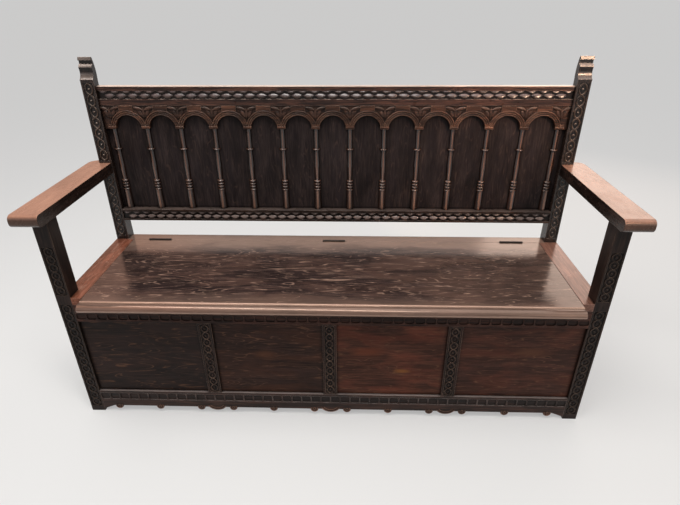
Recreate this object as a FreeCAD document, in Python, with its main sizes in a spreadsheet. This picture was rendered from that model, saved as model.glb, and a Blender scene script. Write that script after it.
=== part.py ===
import FreeCAD, Part
import math
import os

import Sketcher
from FreeCAD import Placement, Rotation, Vector

# Carved oak box settle: a panelled chest base with a lifting seat, open arms and an arcaded back.
# Millimetres. X runs along the bench, Y from the front to the back, Z up from the floor.

os.makedirs("parts", exist_ok=True)
doc = FreeCAD.newDocument("settle_bench")

SIZES = [
    ("frame_length", 1620, "over the outer faces of the front posts"),
    ("total_height", 1074, "floor to the top of the rear posts"),
    ("seat_height", 455, "floor to the top of the seat"),
    ("back_setback", 393.5, "front post face to rear post face at the seat"),
    ("back_rake", 0.8, "lean of the back, in degrees"),
    ("front_post_width", 44, "front post, along the bench"),
    ("front_post_depth", 48, "front post, front to back"),
    ("rear_post_width", 42, "rear post, along the bench"),
    ("rear_post_depth", 46, "rear post below the seat, front to back"),
    ("rear_post_top_depth", 31, "rear post beside the crest rail"),
    ("rear_post_inset", 15, "rear posts stand this far inside the front posts' outer faces"),
    ("finial_lip", 9.5, "sloping top lip of each rear post"),
    ("finial_undercut", 11, "hollow below the lip"),
    ("finial_roll", 12, "roll below the hollow"),
    ("finial_cove", 32, "cove below the roll"),
    ("finial_fillet", 3, "fillet below the cove"),
    ("finial_slope", 3.5, "lip's slope, front to back"),
    ("finial_flat", 4, "flat on top, front to back"),
    ("finial_lip_recess", 13, "lip behind the post's face"),
    ("finial_roll_recess", 9, "foot of the roll behind the post's face"),
    ("finial_projection", 1.2, "fillet in front of the post's face"),
    ("finial_recess", 19, "hollow behind the post's face"),
    ("finial_roll_bulge", 3.5, "swell of the roll"),
    ("finial_cove_bulge", 5.5, "hollow of the cove"),
    ("finial_back_depth", 31, "post at the foot of the scroll"),
    ("finial_back_bulge", 5, "swell of the scroll's back"),
    ("finial_neck", 17, "shoulder behind the post, from the crest rail to the scroll"),
    ("arm_top", 740.5, "floor to the top of the arms"),
    ("arm_thickness", 35.5, "arm board"),
    ("arm_front_overhang", 50, "arm beyond the front post's face"),
    ("arm_outer_overhang", 24, "arm beyond the front post's outer side"),
    ("arm_inner_overhang", 11, "arm beyond the front post's inner side"),
    ("arm_rear_setback", 15, "arm ends short of the rear post's back"),
    ("arm_nose_radius", 15, "rounding of the arm's front edge"),
    ("arm_corner_radius", 28, "rear outer corner of the arm in plan"),
    ("arm_tenon_height", 22, "stub on the front post up into the arm"),
    ("arm_tenon_margin", 11, "wood left round the arm's tenons"),
    ("arm_rear_tenon", 14, "arm into the rear post"),
    ("rail_thickness", 26, "front and rear rails of the chest"),
    ("rail_top_height", 60.5, "upper rails of the chest, up and down"),
    ("rail_bottom_top", 89, "floor to the top of the lower rails"),
    ("tenon_length", 26, "front and rear rails into the posts"),
    ("tenon_shoulder", 9, "shoulder above and below a tenon"),
    ("tenon_end_gap", 1, "free space past the end of a tenon"),
    ("fit_gap", 0.2, "clearance on each face of a tenon, tongue or strip"),
    ("groove_width", 10, "grooves and tenons, across"),
    ("groove_depth", 8, "grooves that hold the panels"),
    ("panel_play", 1.5, "panel edge to the bottom of its groove"),
    ("panel_recess", 8, "panel face behind the rails' face"),
    ("apron_edge", 24.5, "floor to the straight lower edge of the front rail"),
    ("bracket_length", 38, "sloping bracket beside each front foot"),
    ("bracket_foot", 9, "floor to the bracket's lower tip"),
    ("lobe_radius", 37, "wide drops under the muntins"),
    ("lobe_drop", 13, "wide drop below the straight edge"),
    ("curl_radius", 13, "small curled drops"),
    ("curl_drop", 13, "small drop below the straight edge"),
    ("curl_offset", 54, "small drops beside each wide one"),
    ("muntin_width", 43, "uprights between the front panels"),
    ("muntin_thickness", 24, "uprights, front to back"),
    ("outer_panel_gain", 14.15, "outer muntins nearer the middle than an even spacing"),
    ("muntin_tenon", 22, "muntin into the rails"),
    ("side_rail_inset", 3, "side rails inside the rear posts' outer faces"),
    ("side_rail_thickness", 22, "rails under the arms"),
    ("side_tenon_length", 20, "side rails into the posts"),
    ("side_groove_inset", 6, "side groove behind the side rails' outer face"),
    ("rear_rail_bottom", 36, "floor to the lower rear and side rails"),
    ("floor_level", 58, "floor to the underside of the box floor"),
    ("floor_thickness", 12, "boards of the box floor"),
    ("floor_groove", 7, "box floor into the rails"),
    ("floor_split", 190, "front posts' face to the joint between the floor boards"),
    ("seat_thickness", 25, "lid and strips round it"),
    ("end_strip_width", 62.5, "end strips beside the lid, along the bench"),
    ("lid_overhang", 45, "lid's nose beyond the front posts' face"),
    ("lid_side_gap", 1.5, "lid to the end strips"),
    ("lid_rest_gap", 0.3, "lid above the front rail when it is shut"),
    ("lid_bead", 25.5, "lid's upper bead behind its nose"),
    ("lid_step", 3, "bead above the big moulding"),
    ("lid_bead_round", 5, "rounding of the bead, front to back"),
    ("lid_bead_bulge", 1.2, "swell of that rounding"),
    ("lid_groove", 2.5, "groove in front of the bead"),
    ("lid_nose_level", 10.5, "underside of the lid to the tip of its nose"),
    ("lid_nose_return", 5.6, "nose back to the lid's lower edge"),
    ("lid_nose_upper_bulge", 6, "swell of the nose above its tip"),
    ("lid_nose_lower_bulge", 1.5, "swell of the nose below its tip"),
    ("hinge_line", 386.5, "front posts' face to the hinge axis"),
    ("hinge_gap", 1, "lid to the strip behind it"),
    ("hinge_rise", 1, "hinge axis above the seat"),
    ("hinge_length", 80, "hinge barrel"),
    ("hinge_inset", 121, "rear posts' inner faces to the middles of the end hinges"),
    ("hinge_radius", 4, "hinge barrel, half its width"),
    ("hinge_pin_radius", 1.6, "hinge pin, half its width"),
    ("hinge_pin_play", 0.3, "lid knuckles round the pin"),
    ("hinge_leaf_thickness", 2, "leaf plates"),
    ("hinge_leaf_height", 17, "leaf plates, up and down"),
    ("hinge_leaf_play", 0.1, "between the closed leaves, on each side"),
    ("hinge_room", 0.6, "free space round the barrel"),
    ("screw_radius", 1.6, "hinge screws, half the shank"),
    ("screw_head_radius", 3.2, "hinge screws, half the head"),
    ("screw_length", 14, "hinge screws"),
    ("screw_spacing", 28, "between the screws of one leaf"),
    ("strip_rear", 429, "front posts' face to the rear edge of the seat"),
    ("batten_width", 60, "battens under the lid, along the bench"),
    ("batten_thickness", 18, "battens under the lid"),
    ("batten_inset", 281, "lid's ends to the middles of the battens"),
    ("batten_front", 38, "front posts' face to the battens"),
    ("batten_rear", 350, "front posts' face to the battens' rear ends"),
    ("back_rail_recess", 8, "back rails behind the rear posts' face"),
    ("back_rail_thickness", 22, "crest rail"),
    ("lower_rail_recess", 1, "lower back rail behind the rear posts' face"),
    ("ledge_projection", 4, "ledge of the lower back rail in front of its face"),
    ("ledge_thickness", 6, "ledge of the lower back rail"),
    ("back_panel_recess", 22, "back panel behind the rear posts' face"),
    ("back_panel_thickness", 7, "panel behind the spindles"),
    ("back_groove_depth", 6, "grooves round the back panel"),
    ("back_tenon", 22, "back rails into the rear posts"),
    ("back_tenon_thickness", 9, "back rail tenons, front to back"),
    ("lower_rail_level", 73, "seat to the underside of the lower back rail"),
    ("lower_rail_height", 44, "lower back rail"),
    ("arcade_level", 398.5, "seat to the springing of the arches"),
    ("arcade_height", 75, "arcaded board"),
    ("crest_height", 60, "crest rail"),
    ("crest_round", 4, "rounding of the crest rail's top"),
    ("arch_count", 13, "arches in the arcade"),
    ("arch_radius", 44, "arch openings"),
    ("arch_margin", 25, "rear post to the middle of the first spindle"),
    ("spindle_base_radius", 13, "thick lower stretch of a spindle"),
    ("spindle_base_length", 72.5, "thick lower stretch of a spindle"),
    ("spindle_base_taper", 1.5, "narrowing of that stretch to its top"),
    ("spindle_ring_radius", 11.5, "three rings above the base"),
    ("spindle_base_groove", 4.5, "groove between that stretch and the rings"),
    ("spindle_ring_height", 8, "each of those rings"),
    ("spindle_ring_space", 2, "between those rings"),
    ("spindle_shaft_radius", 8, "middle stretch of a spindle, at its foot"),
    ("spindle_swell_radius", 9.6, "middle stretch at its thickest"),
    ("spindle_swell_level", 153, "foot of a spindle to its thickest middle"),
    ("spindle_throat_radius", 7.2, "middle stretch under the collar"),
    ("spindle_collar_level", 212.3, "foot of a spindle to its collar"),
    ("spindle_collar_radius", 12, "thin collar near the top"),
    ("spindle_collar_height", 3, "thin collar near the top"),
    ("spindle_neck_radius", 8.2, "stretch above the collar"),
    ("carving_depth", 2.5, "beds of the carved bands on posts, muntins and front rails"),
    ("post_bed_margin", 5, "plain border beside a post's carved band"),
    ("post_bed_foot", 22, "floor to the carved band of a front post"),
    ("post_bed_head", 82, "arm to the carved band of a front post"),
    ("post_bed_rest", 8, "plain stretch above the seat on a front post"),
    ("rear_bed_rest", 14, "seat to the lower carved band of a rear post"),
    ("rear_bed_foot", 6, "arm to the carved bands of a rear post"),
    ("rear_bed_head", 7, "finial to the carved band of a rear post"),
    ("muntin_bed_margin", 7, "plain border beside a muntin's carved band"),
    ("muntin_bed_end", 6, "plain stretch at each end of a muntin"),
    ("top_bed_low", 6.5, "lower edge of the upper front rail to its carved band"),
    ("top_bed_height", 24, "carved band of the upper front rail"),
    ("apron_bed_drop", 8, "upper edge of the lower front rail to its carved band"),
    ("apron_bed_height", 29, "carved band of the lower front rail"),
    ("nulling_depth", 4, "beds of the nulling on the crest and the lower back rail"),
    ("crest_bed_drop", 14.5, "top of the crest rail to its nulling"),
    ("crest_bed_height", 25, "nulling of the crest rail"),
    ("lower_bed_drop", 10.5, "top of the lower back rail to its nulling"),
    ("lower_bed_height", 27, "nulling of the lower back rail"),
    ("spandrel_depth", 4, "ground between the archivolts"),
    ("spandrel_width", 66, "that ground under the crest rail"),
    ("archivolt_radius", 60, "outside of the raised archivolts"),
    ("peg_radius", 4, "oak pegs through the tenons"),
    ("peg_depth", 25, "pegs from the face of the post"),
    ("peg_inset", 12, "pegs from the shoulder of the joint"),
]

sheet = doc.addObject("Spreadsheet::Sheet", "Sizes")
for row, (alias, amount, note) in enumerate(SIZES, start=1):
    sheet.set(f"A{row}", note)
    sheet.set(f"B{row}", str(amount))
    sheet.setAlias(f"B{row}", alias)
doc.recompute()

# Planes and levels that several pieces share, written as expressions of the sheet.
FRONT = "((Sizes.arm_front_overhang - Sizes.back_setback - Sizes.rear_post_depth) / 2)"
BACK = f"({FRONT} + Sizes.back_setback)"
REAR = f"({BACK} + Sizes.rear_post_depth)"
POST_REAR = f"({FRONT} + Sizes.front_post_depth)"
POST_OUT = "(Sizes.frame_length / 2)"
POST_IN = f"({POST_OUT} - Sizes.front_post_width)"
REAR_OUT = f"({POST_OUT} - Sizes.rear_post_inset)"
REAR_IN = f"({REAR_OUT} - Sizes.rear_post_width)"
SEAT = "Sizes.seat_height"
RAIL_TOP = "(Sizes.seat_height - Sizes.seat_thickness)"
RAIL_UNDER = f"({RAIL_TOP} - Sizes.rail_top_height)"
LOW_TOP = "Sizes.rail_bottom_top"
ARM_UNDER = "(Sizes.arm_top - Sizes.arm_thickness)"
GROOVE_FRONT = f"({FRONT} + Sizes.panel_recess)"
GROOVE_BACK = f"({GROOVE_FRONT} + Sizes.groove_width)"
GROOVE_LOW = f"({LOW_TOP} - Sizes.tenon_shoulder)"
GROOVE_HIGH = f"({RAIL_UNDER} + Sizes.tenon_shoulder)"
REAR_GROOVE_BACK = f"({REAR} - (Sizes.rail_thickness - Sizes.groove_width) / 2)"
REAR_GROOVE_FRONT = f"({REAR_GROOVE_BACK} - Sizes.groove_width)"
LID_END = f"({REAR_OUT} - Sizes.end_strip_width - Sizes.lid_side_gap)"
SIDE_OUT = f"({REAR_OUT} - Sizes.side_rail_inset)"
SIDE_IN = f"({SIDE_OUT} - Sizes.side_rail_thickness)"
SIDE_GROOVE_OUT = f"({SIDE_OUT} - Sizes.side_groove_inset)"
SIDE_GROOVE_IN = f"({SIDE_GROOVE_OUT} - Sizes.groove_width)"
TONGUE = "(Sizes.groove_depth - Sizes.panel_play)"
JOINT = f"({FRONT} + Sizes.hinge_line)"
HINGE_AXIS = f"({SEAT} + Sizes.hinge_rise)"
LID_UNDER = f"({RAIL_TOP} + Sizes.lid_rest_gap)"
CREST_LEVEL = "(Sizes.arcade_level + Sizes.arcade_height)"
SPINDLE_FOOT = "(Sizes.lower_rail_level + Sizes.lower_rail_height)"
ARCH_PITCH = f"(2 * ({REAR_IN} - Sizes.arch_margin) / Sizes.arch_count)"
MUNTIN_SPACING = f"((2 * {POST_IN} + Sizes.muntin_width) / 4 - Sizes.outer_panel_gain)"
GAP = "Sizes.fit_gap"
HINGES = (-1, 0, 1)
KNUCKLES = 5
RINGS = 3
TOUCH = 0.01
SIDES = {"left": -1, "right": 1}

nodes = {}


def number(text):
    return float(sheet.evalExpression(text))


ARCHES = round(number("Sizes.arch_count"))


def keep(name, item):
    item.Label = name
    nodes[name] = item
    return item


def place(item, x, y, z):
    for axis, text in zip("xyz", (x, y, z)):
        item.setExpression(f"Placement.Base.{axis}", text)
    return item


def block(name, x0, x1, y0, y1, z0, z1):
    item = doc.addObject("Part::Box", name)
    item.setExpression("Length", f"({x1}) - ({x0})")
    item.setExpression("Width", f"({y1}) - ({y0})")
    item.setExpression("Height", f"({z1}) - ({z0})")
    return place(item, x0, y0, z0)


def side_block(name, side, near, far, y0, y1, z0, z1):
    if side > 0:
        return block(name, near, far, y0, y1, z0, z1)
    return block(name, f"-({far})", f"-({near})", y0, y1, z0, z1)


def lean(item, x, depth, height):
    # Depth is measured behind the rear posts' leaning face, height up that face from the seat.
    item.Placement = Placement(Vector(), Rotation(Vector(-1, 0, 0), number("Sizes.back_rake")))
    item.setExpression("Placement.Rotation.Angle", "Sizes.back_rake")
    y = f"{BACK} + ({depth}) * cos(Sizes.back_rake) + ({height}) * sin(Sizes.back_rake)"
    z = f"{SEAT} + ({height}) * cos(Sizes.back_rake) - ({depth}) * sin(Sizes.back_rake)"
    return place(item, x, y, z)


def lean_block(name, x0, x1, d0, d1, s0, s1):
    item = block(name, x0, x1, d0, d1, s0, s1)
    return lean(item, x0, d0, s0)


def lean_side_block(name, side, near, far, d0, d1, s0, s1):
    if side > 0:
        return lean_block(name, near, far, d0, d1, s0, s1)
    return lean_block(name, f"-({far})", f"-({near})", d0, d1, s0, s1)


def fuse(name, items):
    item = doc.addObject("Part::MultiFuse", name)
    item.Shapes = items
    item.Refine = True
    return item


def cut(name, base, tools):
    item = doc.addObject("Part::Cut", name)
    item.Base = base
    item.Tool = tools[0] if len(tools) == 1 else fuse(name + "_tools", tools)
    item.Refine = True
    return item


def group(name, items):
    item = doc.addObject("Part::Compound", name)
    item.Links = items
    return item


def new_body(name):
    return doc.addObject("PartDesign::Body", name)


def new_sketch(body, name, role, offset="0"):
    sketch = body.newObject("Sketcher::SketchObject", name)
    plane = [item for item in body.Origin.OriginFeatures if item.Role == role][0]
    sketch.AttachmentSupport = (plane, [""])
    sketch.MapMode = "FlatFace"
    sketch.setExpression("AttachmentOffset.Base.z", offset)
    return sketch


def bow(start, end, radius, bulge):
    # An arc from start to end that swells by the bulge to the right of that way, or to its left.
    side = math.copysign(1, bulge)
    chord = end.sub(start)
    right = Vector(chord.y, -chord.x, 0).normalize() * side
    centre = (start + end) * 0.5 - right * (radius - abs(bulge))
    first, last = (start, end) if side > 0 else (end, start)
    angles = [math.atan2(point.y - centre.y, point.x - centre.x) for point in (first, last)]
    return Part.ArcOfCircle(Part.Circle(centre, Vector(0, 0, 1), radius), angles[0], angles[1])


def bow_radius(corner, following):
    across = f"({following[0]} - ({corner[0]}))"
    along = f"({following[1]} - ({corner[1]}))"
    return f"abs(({across} * {across} + {along} * {along}) / 8 / ({corner[2]}) + ({corner[2]}) / 2)"


def draw(sketch, corners):
    # A closed outline; a third value on a corner is how far the edge that leaves it swells outwards.
    points = [Vector(number(corner[0]), number(corner[1]), 0) for corner in corners]
    ends = []
    radii = []
    for index, corner in enumerate(corners):
        start = points[index]
        end = points[(index + 1) % len(points)]
        if len(corner) == 2:
            sketch.addGeometry(Part.LineSegment(start, end))
            ends.append((1, 2))
            radii.append(None)
        else:
            bulge = number(corner[2])
            radii.append(bow_radius(corner, corners[(index + 1) % len(points)]))
            sketch.addGeometry(bow(start, end, number(radii[-1]), bulge))
            ends.append((1, 2) if bulge > 0 else (2, 1))
    for index, corner in enumerate(corners):
        following = (index + 1) % len(corners)
        sketch.addConstraint(
            Sketcher.Constraint("Coincident", index, ends[index][1], following, ends[following][0]))
        for kind, text, amount in (("DistanceX", corner[0], points[index].x),
                                   ("DistanceY", corner[1], points[index].y)):
            row = sketch.addConstraint(Sketcher.Constraint(kind, index, ends[index][0], amount))
            sketch.setExpression(f"Constraints[{row}]", text)
        if radii[index]:
            row = sketch.addConstraint(Sketcher.Constraint("Radius", index, number(radii[index])))
            sketch.setExpression(f"Constraints[{row}]", radii[index])
    return sketch


def quarter(radius):
    # The swell of a quarter circle over its chord.
    return f"{radius} * (1 - sqrt(0.5))"


def pad(body, sketch, length, backwards=False):
    item = body.newObject("PartDesign::Pad", sketch.Name + "_pad")
    item.Profile = sketch
    item.setExpression("Length", length)
    item.Reversed = backwards
    body.Tip = item
    return item


def turn_half(body, sketch):
    item = body.newObject("PartDesign::Revolution", sketch.Name + "_turn")
    item.Profile = sketch
    item.ReferenceAxis = (sketch, ["V_Axis"])
    item.Angle = 180
    item.Reversed = True
    body.Tip = item
    return item


def cylinder(name, radius, length, x, y, z, along_y=True):
    item = doc.addObject("Part::Cylinder", name)
    item.setExpression("Radius", radius)
    item.setExpression("Height", length)
    if along_y:
        item.Placement.Rotation = Rotation(Vector(-1, 0, 0), 90)
    else:
        item.Placement.Rotation = Rotation(Vector(0, 1, 0), 90)
    return place(item, x, y, z)


def lean_cylinder(name, radius, length, x, depth, height):
    item = cylinder(name, radius, length, x, "0", "0")
    item.Placement.Rotation = Rotation(Vector(-1, 0, 0), 90 + number("Sizes.back_rake"))
    item.setExpression("Placement.Rotation.Angle", "90 + Sizes.back_rake")
    y = f"{BACK} + ({depth}) * cos(Sizes.back_rake) + ({height}) * sin(Sizes.back_rake)"
    z = f"{SEAT} + ({height}) * cos(Sizes.back_rake) - ({depth}) * sin(Sizes.back_rake)"
    return place(item, x, y, z)


def front_bed(name, x0, x1, z0, z1):
    # A shallow bed for carving, cut into the front faces of the chest.
    return block(name, x0, x1, f"{FRONT} - {GAP}", f"{FRONT} + Sizes.carving_depth", z0, z1)


def back_bed(name, face, drop, height, top):
    return lean_block(name, f"-{REAR_IN}", REAR_IN, f"{face} - {GAP}", f"{face} + Sizes.nulling_depth",
                      f"{top} - {drop} - {height}", f"{top} - {drop}")


def signed(side, text):
    return text if side > 0 else f"-({text})"


def tenon_span(low, high, slack="0"):
    return f"({low}) + Sizes.tenon_shoulder - {slack}", f"({high}) - Sizes.tenon_shoulder + {slack}"


# Oak pegs, two through each tenon of the long front and back rails.
def peg_levels(low, high):
    return [f"{low} + ({high} - ({low})) * {part} / 3" for part in (1, 2)]


def front_pegs(side):
    x = signed(side, f"{POST_IN} + Sizes.peg_inset")
    levels = peg_levels(RAIL_UNDER, RAIL_TOP) + peg_levels("Sizes.apron_edge", LOW_TOP)
    return [(x, level) for level in levels]


def back_pegs(side):
    x = signed(side, f"{REAR_IN} + Sizes.peg_inset")
    lower = peg_levels("Sizes.lower_rail_level", SPINDLE_FOOT)
    upper = peg_levels(CREST_LEVEL, f"({CREST_LEVEL} + Sizes.crest_height)")
    return [(x, level, "0") for level in lower] + [(x, level, "Sizes.carving_depth") for level in upper]


def front_peg_solids(name, side):
    face = f"{FRONT} + Sizes.carving_depth"
    return [cylinder(f"{name}_{index}", "Sizes.peg_radius", "Sizes.peg_depth", x, face, z)
            for index, (x, z) in enumerate(front_pegs(side))]


def back_peg_solids(name, side):
    return [lean_cylinder(f"{name}_{index}", "Sizes.peg_radius", "Sizes.peg_depth", x, depth, height)
            for index, (x, height, depth) in enumerate(back_pegs(side))]


# Front posts: square oak posts from the floor to the arms, mortised for the rails and grooved.
def front_post(word, side):
    name = f"front_post_{word}"
    tall = side_block(name + "_blank", side, POST_IN, POST_OUT, FRONT, POST_REAR, "0", ARM_UNDER)
    margin = "Sizes.arm_tenon_margin"
    stub = side_block(name + "_stub", side, f"{POST_IN} + {margin}", f"{POST_OUT} - {margin}",
                      f"{FRONT} + {margin}", f"{POST_REAR} - {margin}",
                      ARM_UNDER, f"{ARM_UNDER} + Sizes.arm_tenon_height")
    tools = []
    deep = f"{POST_IN} + Sizes.tenon_length + Sizes.tenon_end_gap"
    for low, high in ((RAIL_UNDER, RAIL_TOP), ("Sizes.apron_edge", LOW_TOP)):
        bottom, top = tenon_span(low, high, GAP)
        tools.append(side_block(name + "_mortise", side, POST_IN, deep,
                                GROOVE_FRONT, GROOVE_BACK, bottom, top))
    tools.append(side_block(name + "_groove", side, POST_IN, f"{POST_IN} + Sizes.groove_depth",
                            GROOVE_FRONT, GROOVE_BACK, GROOVE_LOW, GROOVE_HIGH))
    inward = f"{POST_REAR} - Sizes.side_tenon_length - Sizes.tenon_end_gap"
    for low, high in ((RAIL_UNDER, RAIL_TOP), ("Sizes.rear_rail_bottom", LOW_TOP)):
        bottom, top = tenon_span(low, high, GAP)
        tools.append(side_block(name + "_side_mortise", side, SIDE_GROOVE_IN, SIDE_GROOVE_OUT,
                                inward, POST_REAR, bottom, top))
    tools.append(side_block(name + "_side_groove", side, SIDE_GROOVE_IN, SIDE_GROOVE_OUT,
                            f"{POST_REAR} - Sizes.groove_depth", POST_REAR,
                            GROOVE_LOW, GROOVE_HIGH))
    inner, outer = f"{POST_IN} + Sizes.post_bed_margin", f"{POST_OUT} - Sizes.post_bed_margin"
    left, right = (inner, outer) if side > 0 else (f"-({outer})", f"-({inner})")
    for low, high in (("Sizes.post_bed_foot", RAIL_TOP),
                      (f"{SEAT} + Sizes.post_bed_rest", f"{ARM_UNDER} - Sizes.post_bed_head")):
        tools.append(front_bed(name + "_bed", left, right, low, high))
    tools += front_peg_solids(name + "_peg_hole", side)
    keep(name, cut(name, fuse(name + "_whole", [tall, stub]), tools))


# Rear posts: straight to the seat, then a slightly leaning front, ending in a rolled scroll.
LIP_UNDER = "(Sizes.total_height - Sizes.finial_lip)"
ROLL_TOP = f"({LIP_UNDER} - Sizes.finial_undercut)"
COVE_TOP = f"({ROLL_TOP} - Sizes.finial_roll)"
FILLET_TOP = f"({COVE_TOP} - Sizes.finial_cove)"
FINIAL_FOOT = f"({FILLET_TOP} - Sizes.finial_fillet)"


def lean_y(level, depth="0"):
    return f"{BACK} + (({level}) - {SEAT}) * tan(Sizes.back_rake) + {depth}"


def rear_post_blank(word, side):
    body = new_body(f"rear_post_{word}_blank")
    sketch = new_sketch(body, f"rear_post_{word}_outline", "YZ_Plane")
    top = "Sizes.total_height"
    recess = "Sizes.finial_recess"
    lip = "Sizes.finial_lip_recess"
    shoulder = f"({FINIAL_FOOT} - Sizes.finial_neck)"
    draw(sketch, [
        (BACK, "0"),
        (REAR, "0"),
        (REAR, SEAT),
        (lean_y(shoulder, "Sizes.rear_post_top_depth"), shoulder),
        (lean_y(FINIAL_FOOT, "Sizes.finial_back_depth"), FINIAL_FOOT, "Sizes.finial_back_bulge"),
        (lean_y(top, f"{lip} + Sizes.finial_slope + Sizes.finial_flat"), top),
        (lean_y(top, f"{lip} + Sizes.finial_slope"), top),
        (lean_y(LIP_UNDER, lip), LIP_UNDER),
        (lean_y(LIP_UNDER, recess), LIP_UNDER),
        (lean_y(ROLL_TOP, recess), ROLL_TOP, "Sizes.finial_roll_bulge"),
        (lean_y(COVE_TOP, "Sizes.finial_roll_recess"), COVE_TOP, "-Sizes.finial_cove_bulge"),
        (lean_y(FILLET_TOP), FILLET_TOP),
        (lean_y(FILLET_TOP, "-Sizes.finial_projection"), FILLET_TOP),
        (lean_y(FINIAL_FOOT, "-Sizes.finial_projection"), FINIAL_FOOT),
        (lean_y(FINIAL_FOOT), FINIAL_FOOT),
        (BACK, SEAT),
    ])
    pad(body, sketch, "Sizes.rear_post_width")
    start = REAR_IN if side > 0 else f"-({REAR_OUT})"
    body.setExpression("Placement.Base.x", start)
    return body


def rear_post(word, side, blank):
    name = f"rear_post_{word}"
    tools = []
    inward = f"{BACK} + Sizes.side_tenon_length + Sizes.tenon_end_gap"
    for low, high in ((RAIL_UNDER, RAIL_TOP), ("Sizes.rear_rail_bottom", LOW_TOP)):
        bottom, top = tenon_span(low, high, GAP)
        tools.append(side_block(name + "_side_mortise", side, SIDE_GROOVE_IN, SIDE_GROOVE_OUT,
                                BACK, inward, bottom, top))
        tools.append(side_block(name + "_rear_mortise", side, REAR_IN,
                                f"{REAR_IN} + Sizes.side_tenon_length + Sizes.tenon_end_gap",
                                REAR_GROOVE_FRONT, REAR_GROOVE_BACK, bottom, top))
    tools.append(side_block(name + "_side_groove", side, SIDE_GROOVE_IN, SIDE_GROOVE_OUT,
                            BACK, f"{BACK} + Sizes.groove_depth", GROOVE_LOW, GROOVE_HIGH))
    tools.append(side_block(name + "_rear_groove", side, REAR_IN, f"{REAR_IN} + Sizes.groove_depth",
                            REAR_GROOVE_FRONT, REAR_GROOVE_BACK, GROOVE_LOW, GROOVE_HIGH))
    deep = f"{REAR_IN} + Sizes.back_tenon + Sizes.tenon_end_gap"
    start, end = back_tenon_depths(GAP)
    for low, high in (("Sizes.lower_rail_level", SPINDLE_FOOT),
                      (CREST_LEVEL, f"{CREST_LEVEL} + Sizes.crest_height")):
        bottom, top = tenon_span(low, high, GAP)
        tools.append(lean_side_block(name + "_back_mortise", side, REAR_IN, deep,
                                     start, end, bottom, top))
    tools.append(lean_side_block(
        name + "_back_groove", side, REAR_IN, f"{REAR_IN} + Sizes.back_groove_depth",
        "Sizes.back_panel_recess",
        f"Sizes.back_panel_recess + Sizes.back_panel_thickness + 2 * {GAP}",
        f"{SPINDLE_FOOT} - Sizes.tenon_shoulder", f"{CREST_LEVEL} + Sizes.tenon_shoulder"))
    tools.append(arm_rear_tenon(name + "_arm_mortise", side, GAP))
    rise = "/ cos(Sizes.back_rake)"
    for low, high in ((f"{SEAT} + Sizes.rear_bed_rest", f"{ARM_UNDER} - Sizes.rear_bed_foot"),
                      ("Sizes.arm_top + Sizes.rear_bed_foot", f"{FINIAL_FOOT} - Sizes.rear_bed_head")):
        tools.append(lean_side_block(
            name + "_bed", side, f"{REAR_IN} + Sizes.post_bed_margin",
            f"{REAR_OUT} - Sizes.post_bed_margin", f"-{GAP}", "Sizes.carving_depth",
            f"({low} - {SEAT}) {rise}", f"({high} - {SEAT}) {rise}"))
    tools += back_peg_solids(name + "_peg_hole", side)
    keep(name, cut(name, blank, tools))


def back_tenon_depths(slack="0"):
    middle = "(Sizes.back_rail_recess + Sizes.back_rail_thickness / 2)"
    half = "Sizes.back_tenon_thickness / 2"
    return f"{middle} - {half} - {slack}", f"{middle} + {half} + {slack}"


# Arms: flat boards with a round nose, seated on the front posts and notched round the rear posts.
ARM_IN = f"({POST_IN} - Sizes.arm_inner_overhang)"
ARM_OUT = f"({POST_OUT} + Sizes.arm_outer_overhang)"


def arm_rear_tenon(name, side, slack="0"):
    margin = "Sizes.arm_tenon_margin"
    reach = lean_y("Sizes.arm_top", f"Sizes.arm_rear_tenon + {slack} * 2")
    start = f"{BACK} - Sizes.tenon_shoulder" if slack == "0" else BACK
    return side_block(name, side, f"{REAR_IN} + {margin} - {slack}", f"{REAR_OUT} - {margin} + {slack}",
                      start, reach,
                      f"{ARM_UNDER} + {margin} - {slack}", f"Sizes.arm_top - {margin} + {slack}")


def arm(word, side, blank):
    name = f"arm_{word}"
    body = new_body(name + "_board")
    nose = f"{FRONT} - Sizes.arm_front_overhang"
    tail = f"{REAR} - Sizes.arm_rear_setback"
    curve = "Sizes.arm_nose_radius"
    sketch = new_sketch(body, name + "_profile", "YZ_Plane")
    draw(sketch, [
        (f"{nose} + {curve}", ARM_UNDER),
        (tail, ARM_UNDER),
        (tail, "Sizes.arm_top"),
        (f"{nose} + {curve}", "Sizes.arm_top", quarter(curve)),
        (nose, f"Sizes.arm_top - {curve}"),
        (nose, f"{ARM_UNDER} + {curve}", quarter(curve)),
    ])
    board = pad(body, sketch, f"{ARM_OUT} - ({ARM_IN})")
    body.setExpression("Placement.Base.x", ARM_IN if side > 0 else f"-({ARM_OUT})")
    doc.recompute()
    outer = number(f"{ARM_OUT} - ({ARM_IN})") if side > 0 else 0
    rear = number(tail)
    corner = [f"Edge{index}" for index, edge in enumerate(board.Shape.Edges, start=1)
              if all(abs(point.X - outer) < TOUCH and abs(point.Y - rear) < TOUCH
                     for point in edge.Vertexes)]
    fillet = body.newObject("PartDesign::Fillet", name + "_corner")
    fillet.Base = (board, corner)
    fillet.setExpression("Radius", "Sizes.arm_corner_radius")
    body.Tip = fillet
    margin = "Sizes.arm_tenon_margin"
    socket = side_block(name + "_socket", side, f"{POST_IN} + {margin} - {GAP}",
                        f"{POST_OUT} - {margin} + {GAP}",
                        f"{FRONT} + {margin} - {GAP}", f"{POST_REAR} - {margin} + {GAP}",
                        ARM_UNDER, f"{ARM_UNDER} + Sizes.arm_tenon_height + Sizes.tenon_end_gap")
    notched = cut(name + "_notched", body, [blank, socket])
    keep(name, fuse(name, [notched, arm_rear_tenon(name + "_tenon", side)]))


# Upper front rail of the chest, tenoned into the posts and grooved under for the panels.
MUNTINS = (-1, 0, 1)


def muntin_middle(place_number):
    return f"({place_number} * {MUNTIN_SPACING})"


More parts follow.
